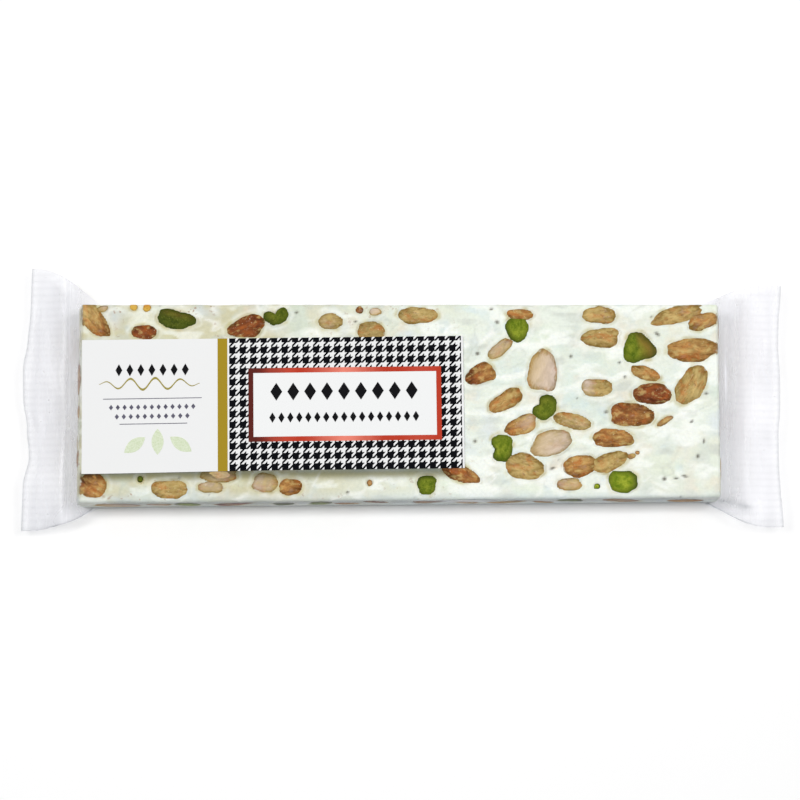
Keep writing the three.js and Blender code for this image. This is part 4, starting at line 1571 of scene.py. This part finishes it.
def printed_paper():
    """White paper with a faint mottle, a whiter panel, the gold stripe and the houndstooth."""
    finish = Finish("printed paper", Roughness=0.6, Specular_IOR_Level=0.05)
    spot = finish.add("UVMap", uv_map="pattern")
    separate = finish.add("SeparateXYZ", inputs={0: spot}).node
    u, v = separate.outputs[0], separate.outputs[1]

    def part(value, start, end):
        """1 where the value lies from start to end."""
        after = finish.math("GREATER_THAN", value, start)
        return finish.times(after, finish.math("LESS_THAN", value, end))

    def first_part(value, share):
        """1 over the first part of each repeat."""
        return finish.math("LESS_THAN", finish.math("FRACT", value), share)

    left, low, right, high = FRAME
    panel = finish.times(part(u, left, right), part(v, low, high))
    a = finish.math("DIVIDE", finish.math("SUBTRACT", u, CHECK_START), CHECK[0])
    b = finish.math("DIVIDE", v, CHECK[1])
    warp_on_top = first_part(finish.times(finish.math("SUBTRACT", b, a), 2.0), 0.5)
    weft_on_top = finish.math("SUBTRACT", 1.0, warp_on_top)
    warp = finish.times(warp_on_top, first_part(a, DARK_SHARE))
    weft = finish.times(weft_on_top, first_part(b, DARK_SHARE))
    check = finish.times(finish.plus(warp, weft), part(u, CHECK_START, CHECK_END))
    check = finish.times(check, finish.math("SUBTRACT", 1.0, panel))
    grain = finish.grain(spot, 6.0)
    paper = finish.mix(finish.between(grain, 0.3, 0.7), ink(227, 228, 228), ink(233, 233, 233))
    layers = [
        (panel, (233, 234, 234)),
        (part(u, PANEL_END, STRIPE_END), (160, 135, 36)),
        (check, (2, 3, 9)),
    ]
    finish.set(Base_Color=finish.layered(paper, layers), Normal=finish.bump(grain, 0.00004))
    return finish


printed_paper().put_on(paper, "label")
print("repeats of the houndstooth along the label:", round((CHECK_END - CHECK_START) / CHECK[0], 1))

# %% [markdown]
# The foil frame and the ornaments stand on the print as very thin shapes, as thick ink and
# pressed foil do. A texture could show them too, but a shape keeps a sharp edge at any distance.

# %% The foil frame
INK_THICK = 0.06
FOIL_THICK = 0.05
OFF_PAPER = 0.004  # from the paper up to a shape's underside, so that the two don't coincide
FOIL_WIDTH = 1.7


def printed_shapes(name, outlines, lift=INK_THICK):
    """Closed flat prisms from outlines on the label, each an (n, 2) array that runs
    anticlockwise round a shape with no dents deeper than its middle."""
    points, faces, count = [], [], 0
    for edge in outlines:
        flat = on_label(edge[:, 0], edge[:, 1], lift)
        size = len(flat)
        points += [flat, flat - [0, 0, lift - OFF_PAPER]]
        ring = np.arange(size)
        ahead = (ring + 1) % size
        sides = np.stack([ring, ring + size, ahead + size, ahead], axis=-1) + count
        faces += [(count + ring).tolist(), (count + size + ring[::-1]).tolist(), *sides.tolist()]
        count += 2 * size
    piece = new_piece(name, np.concatenate(points), faces, smooth=False)
    weld(piece, 0.00001)
    return piece


def box_outline(left, low, right, high):
    """A rectangle with points every few millimetres, so that it follows the paper."""
    xs = np.linspace(left, right, max(int(right - left) // 4, 1) + 1)
    ys = np.linspace(low, high, max(int(high - low) // 4, 1) + 1)
    sides = [
        np.stack([xs[:-1], np.full(len(xs) - 1, low)], axis=-1),
        np.stack([np.full(len(ys) - 1, right), ys[:-1]], axis=-1),
        np.stack([xs[:0:-1], np.full(len(xs) - 1, high)], axis=-1),
        np.stack([np.full(len(ys) - 1, left), ys[:0:-1]], axis=-1),
    ]
    return np.concatenate(sides)


left_edge, low_edge, right_edge, high_edge = FRAME
inner_left, inner_low = left_edge + FOIL_WIDTH, low_edge + FOIL_WIDTH
inner_right, inner_high = right_edge - FOIL_WIDTH, high_edge - FOIL_WIDTH
bands = [
    box_outline(left_edge, low_edge, right_edge, inner_low),
    box_outline(left_edge, inner_high, right_edge, high_edge),
    box_outline(left_edge, inner_low, inner_left, inner_high),
    box_outline(inner_right, inner_low, right_edge, inner_high),
]
foil = printed_shapes("foil_frame", bands, FOIL_THICK)
print("foil frame of", len(bands), "bands")

# %% [markdown]
# The ornaments are plain, and bring some black, grey, olive and leaf green to the label: rows of
# lozenges, two rules, a wave and three leaves.

# %% Ornaments
# left, right, middle, height, count, and the share of the pitch that a lozenge fills
BLACK_ROWS = [
    (11.0, 38.0, 35.4, 4.2, 7, 0.62),
    (64.5, 117.0, 27.2, 6.2, 9, 0.7),
    (64.5, 117.0, 18.2, 3.6, 17, 0.7),
]
GREY_ROWS = [(9.0, 40.0, 22.6, 1.9, 13, 0.62), (11.0, 38.0, 19.4, 1.9, 11, 0.62)]
RULES = [(7.4, 25.4, 41.7, 25.65), (13.2, 16.7, 36.7, 16.95)]  # left, low, right, high
WAVE = (6.0, 41.0, 30.6, 2.0, 4, 0.8)  # left, right, middle, rise, turns, thickness
LEAVES = [(18.5, 9.6, 35), (26.5, 10.6, 90), (34.5, 9.6, 145)]  # middle and turn
LEAF_LENGTH, LEAF_WIDTH = 9, 4.2


def lozenges(left, right, middle, height, count, filled):
    """A row of lozenges from left to right."""
    pitch = (right - left) / count
    centres = left + pitch * (np.arange(count) + 0.5)
    half_width, half_height = filled * pitch / 2, height / 2
    corners = np.array([[half_width, 0], [0, half_height], [-half_width, 0], [0, -half_height]])
    return [corners + [centre_x, middle] for centre_x in centres]


def wave_outline(left, right, middle, rise, turns, thick):
    """A ribbon along a sine wave, thinner towards its ends."""
    x = np.linspace(left, right, 90)
    part = (x - left) / (right - left)
    y = middle + rise * np.sin(2 * pi * turns * part) * np.sin(pi * part) ** 0.5
    half = thick / 2 * (0.25 + 0.75 * np.sin(pi * part))
    return np.concatenate([np.stack([x, y - half], -1), np.stack([x, y + half], -1)[::-1]])


def leaf_outline(middle_u, middle_v, degrees):
    """A pointed leaf: two arcs between its tips."""
    part = np.linspace(-1, 1, 17)
    lower = np.stack([part * LEAF_LENGTH / 2, -LEAF_WIDTH / 2 * (1 - part**2)], axis=-1)
    turn = radians(degrees)
    spin = np.array([[np.cos(turn), np.sin(turn)], [-np.sin(turn), np.cos(turn)]])
    return np.concatenate([lower, -lower[1:-1]]) @ spin + [middle_u, middle_v]


grey_rows = [shape for row in GREY_ROWS for shape in lozenges(*row)]
ornaments = {
    "black_ornaments": [shape for row in BLACK_ROWS for shape in lozenges(*row)],
    "grey_ornaments": [box_outline(*rule) for rule in RULES] + grey_rows,
    "olive_wave": [wave_outline(*WAVE)],
    "leaf_print": [leaf_outline(*leaf) for leaf in LEAVES],
}
prints = {name: printed_shapes(name, shapes) for name, shapes in ornaments.items()}
print("label ornaments:", {name: len(shapes) for name, shapes in ornaments.items()})

# %% [markdown]
# Inks are matt and faintly mottled. The foil is a red metal that shows what is above it, here
# a bright patch where the paper bends towards a lamp, and a dark end. A mirror of this small
# room would be plain, so a formula of the distance along X gives both.

# %% Inks and foil
SHINE_AT, SHINE_REACH = -20.0, 15.0  # along X
FOIL_WAVE = 24.0
# along X, where a painted dark reflection turns the foil from maroon to red
DARK_REFLECTION_END = (-50.0, -40.0)
# name, dark and light of the ink of each ornament
INKS = {
    "black_ornaments": ("black ink", (4, 4, 8), (14, 14, 18)),
    "grey_ornaments": ("grey ink", (70, 68, 84), (110, 108, 124)),
    "olive_wave": ("olive ink", (140, 128, 56), (166, 154, 84)),
    "leaf_print": ("leaf ink", (198, 210, 176), (218, 226, 204)),
}


def plain_ink(name, dark, light):
    """An ink with the faint mottle of print on paper."""
    finish = Finish(name, Roughness=0.5, Specular_IOR_Level=0.05)
    mottle = finish.grain(finish.add("TexCoord", out=3), 2500.0)
    finish.set(Base_Color=finish.mix(finish.between(mottle, 0.35, 0.65), ink(*dark), ink(*light)))
    return finish


def red_foil():
    """Hot-pressed foil: red, turned maroon towards one end by a painted dark reflection, and with
    one painted soft shine where the paper bends. The shine is a triangle of the distance along X,
    and a slow sine lies over it."""
    finish = Finish("red foil", Metallic=0.1, Roughness=0.4, Specular_IOR_Level=0.08)
    places = finish.add("TexCoord", out=3)
    along = finish.add("SeparateXYZ", inputs={0: places})
    cloud = finish.between(finish.grain(places, 300.0), 0.3, 0.7, -0.001, 0.001)
    along = finish.plus(along, cloud)
    from_shine = finish.math("ABSOLUTE", finish.math("SUBTRACT", along, SHINE_AT * MM))
    shine = finish.between(from_shine, SHINE_REACH * MM, 0.0, 0.0, 0.9)
    slow = finish.math("SINE", finish.times(along, 2 * pi / (FOIL_WAVE * MM)))
    shine = finish.plus(shine, finish.times(slow, 0.1))
    end_low, end_high = DARK_REFLECTION_END
    clear_of_dark_reflection = finish.between(along, end_low * MM, end_high * MM)
    red = finish.mix(clear_of_dark_reflection, ink(84, 26, 18), ink(176, 54, 32))
    finish.set(Base_Color=finish.mix(shine, red, ink(224, 128, 110)))
    return finish


red_foil().put_on(foil, "label")
for name, (ink_name, dark, light) in INKS.items():
    plain_ink(ink_name, dark, light).put_on(prints[name], "label")
for piece in (foil, *prints.values()):
    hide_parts("label")
print("label is printed with foil and", len(INKS), "inks")
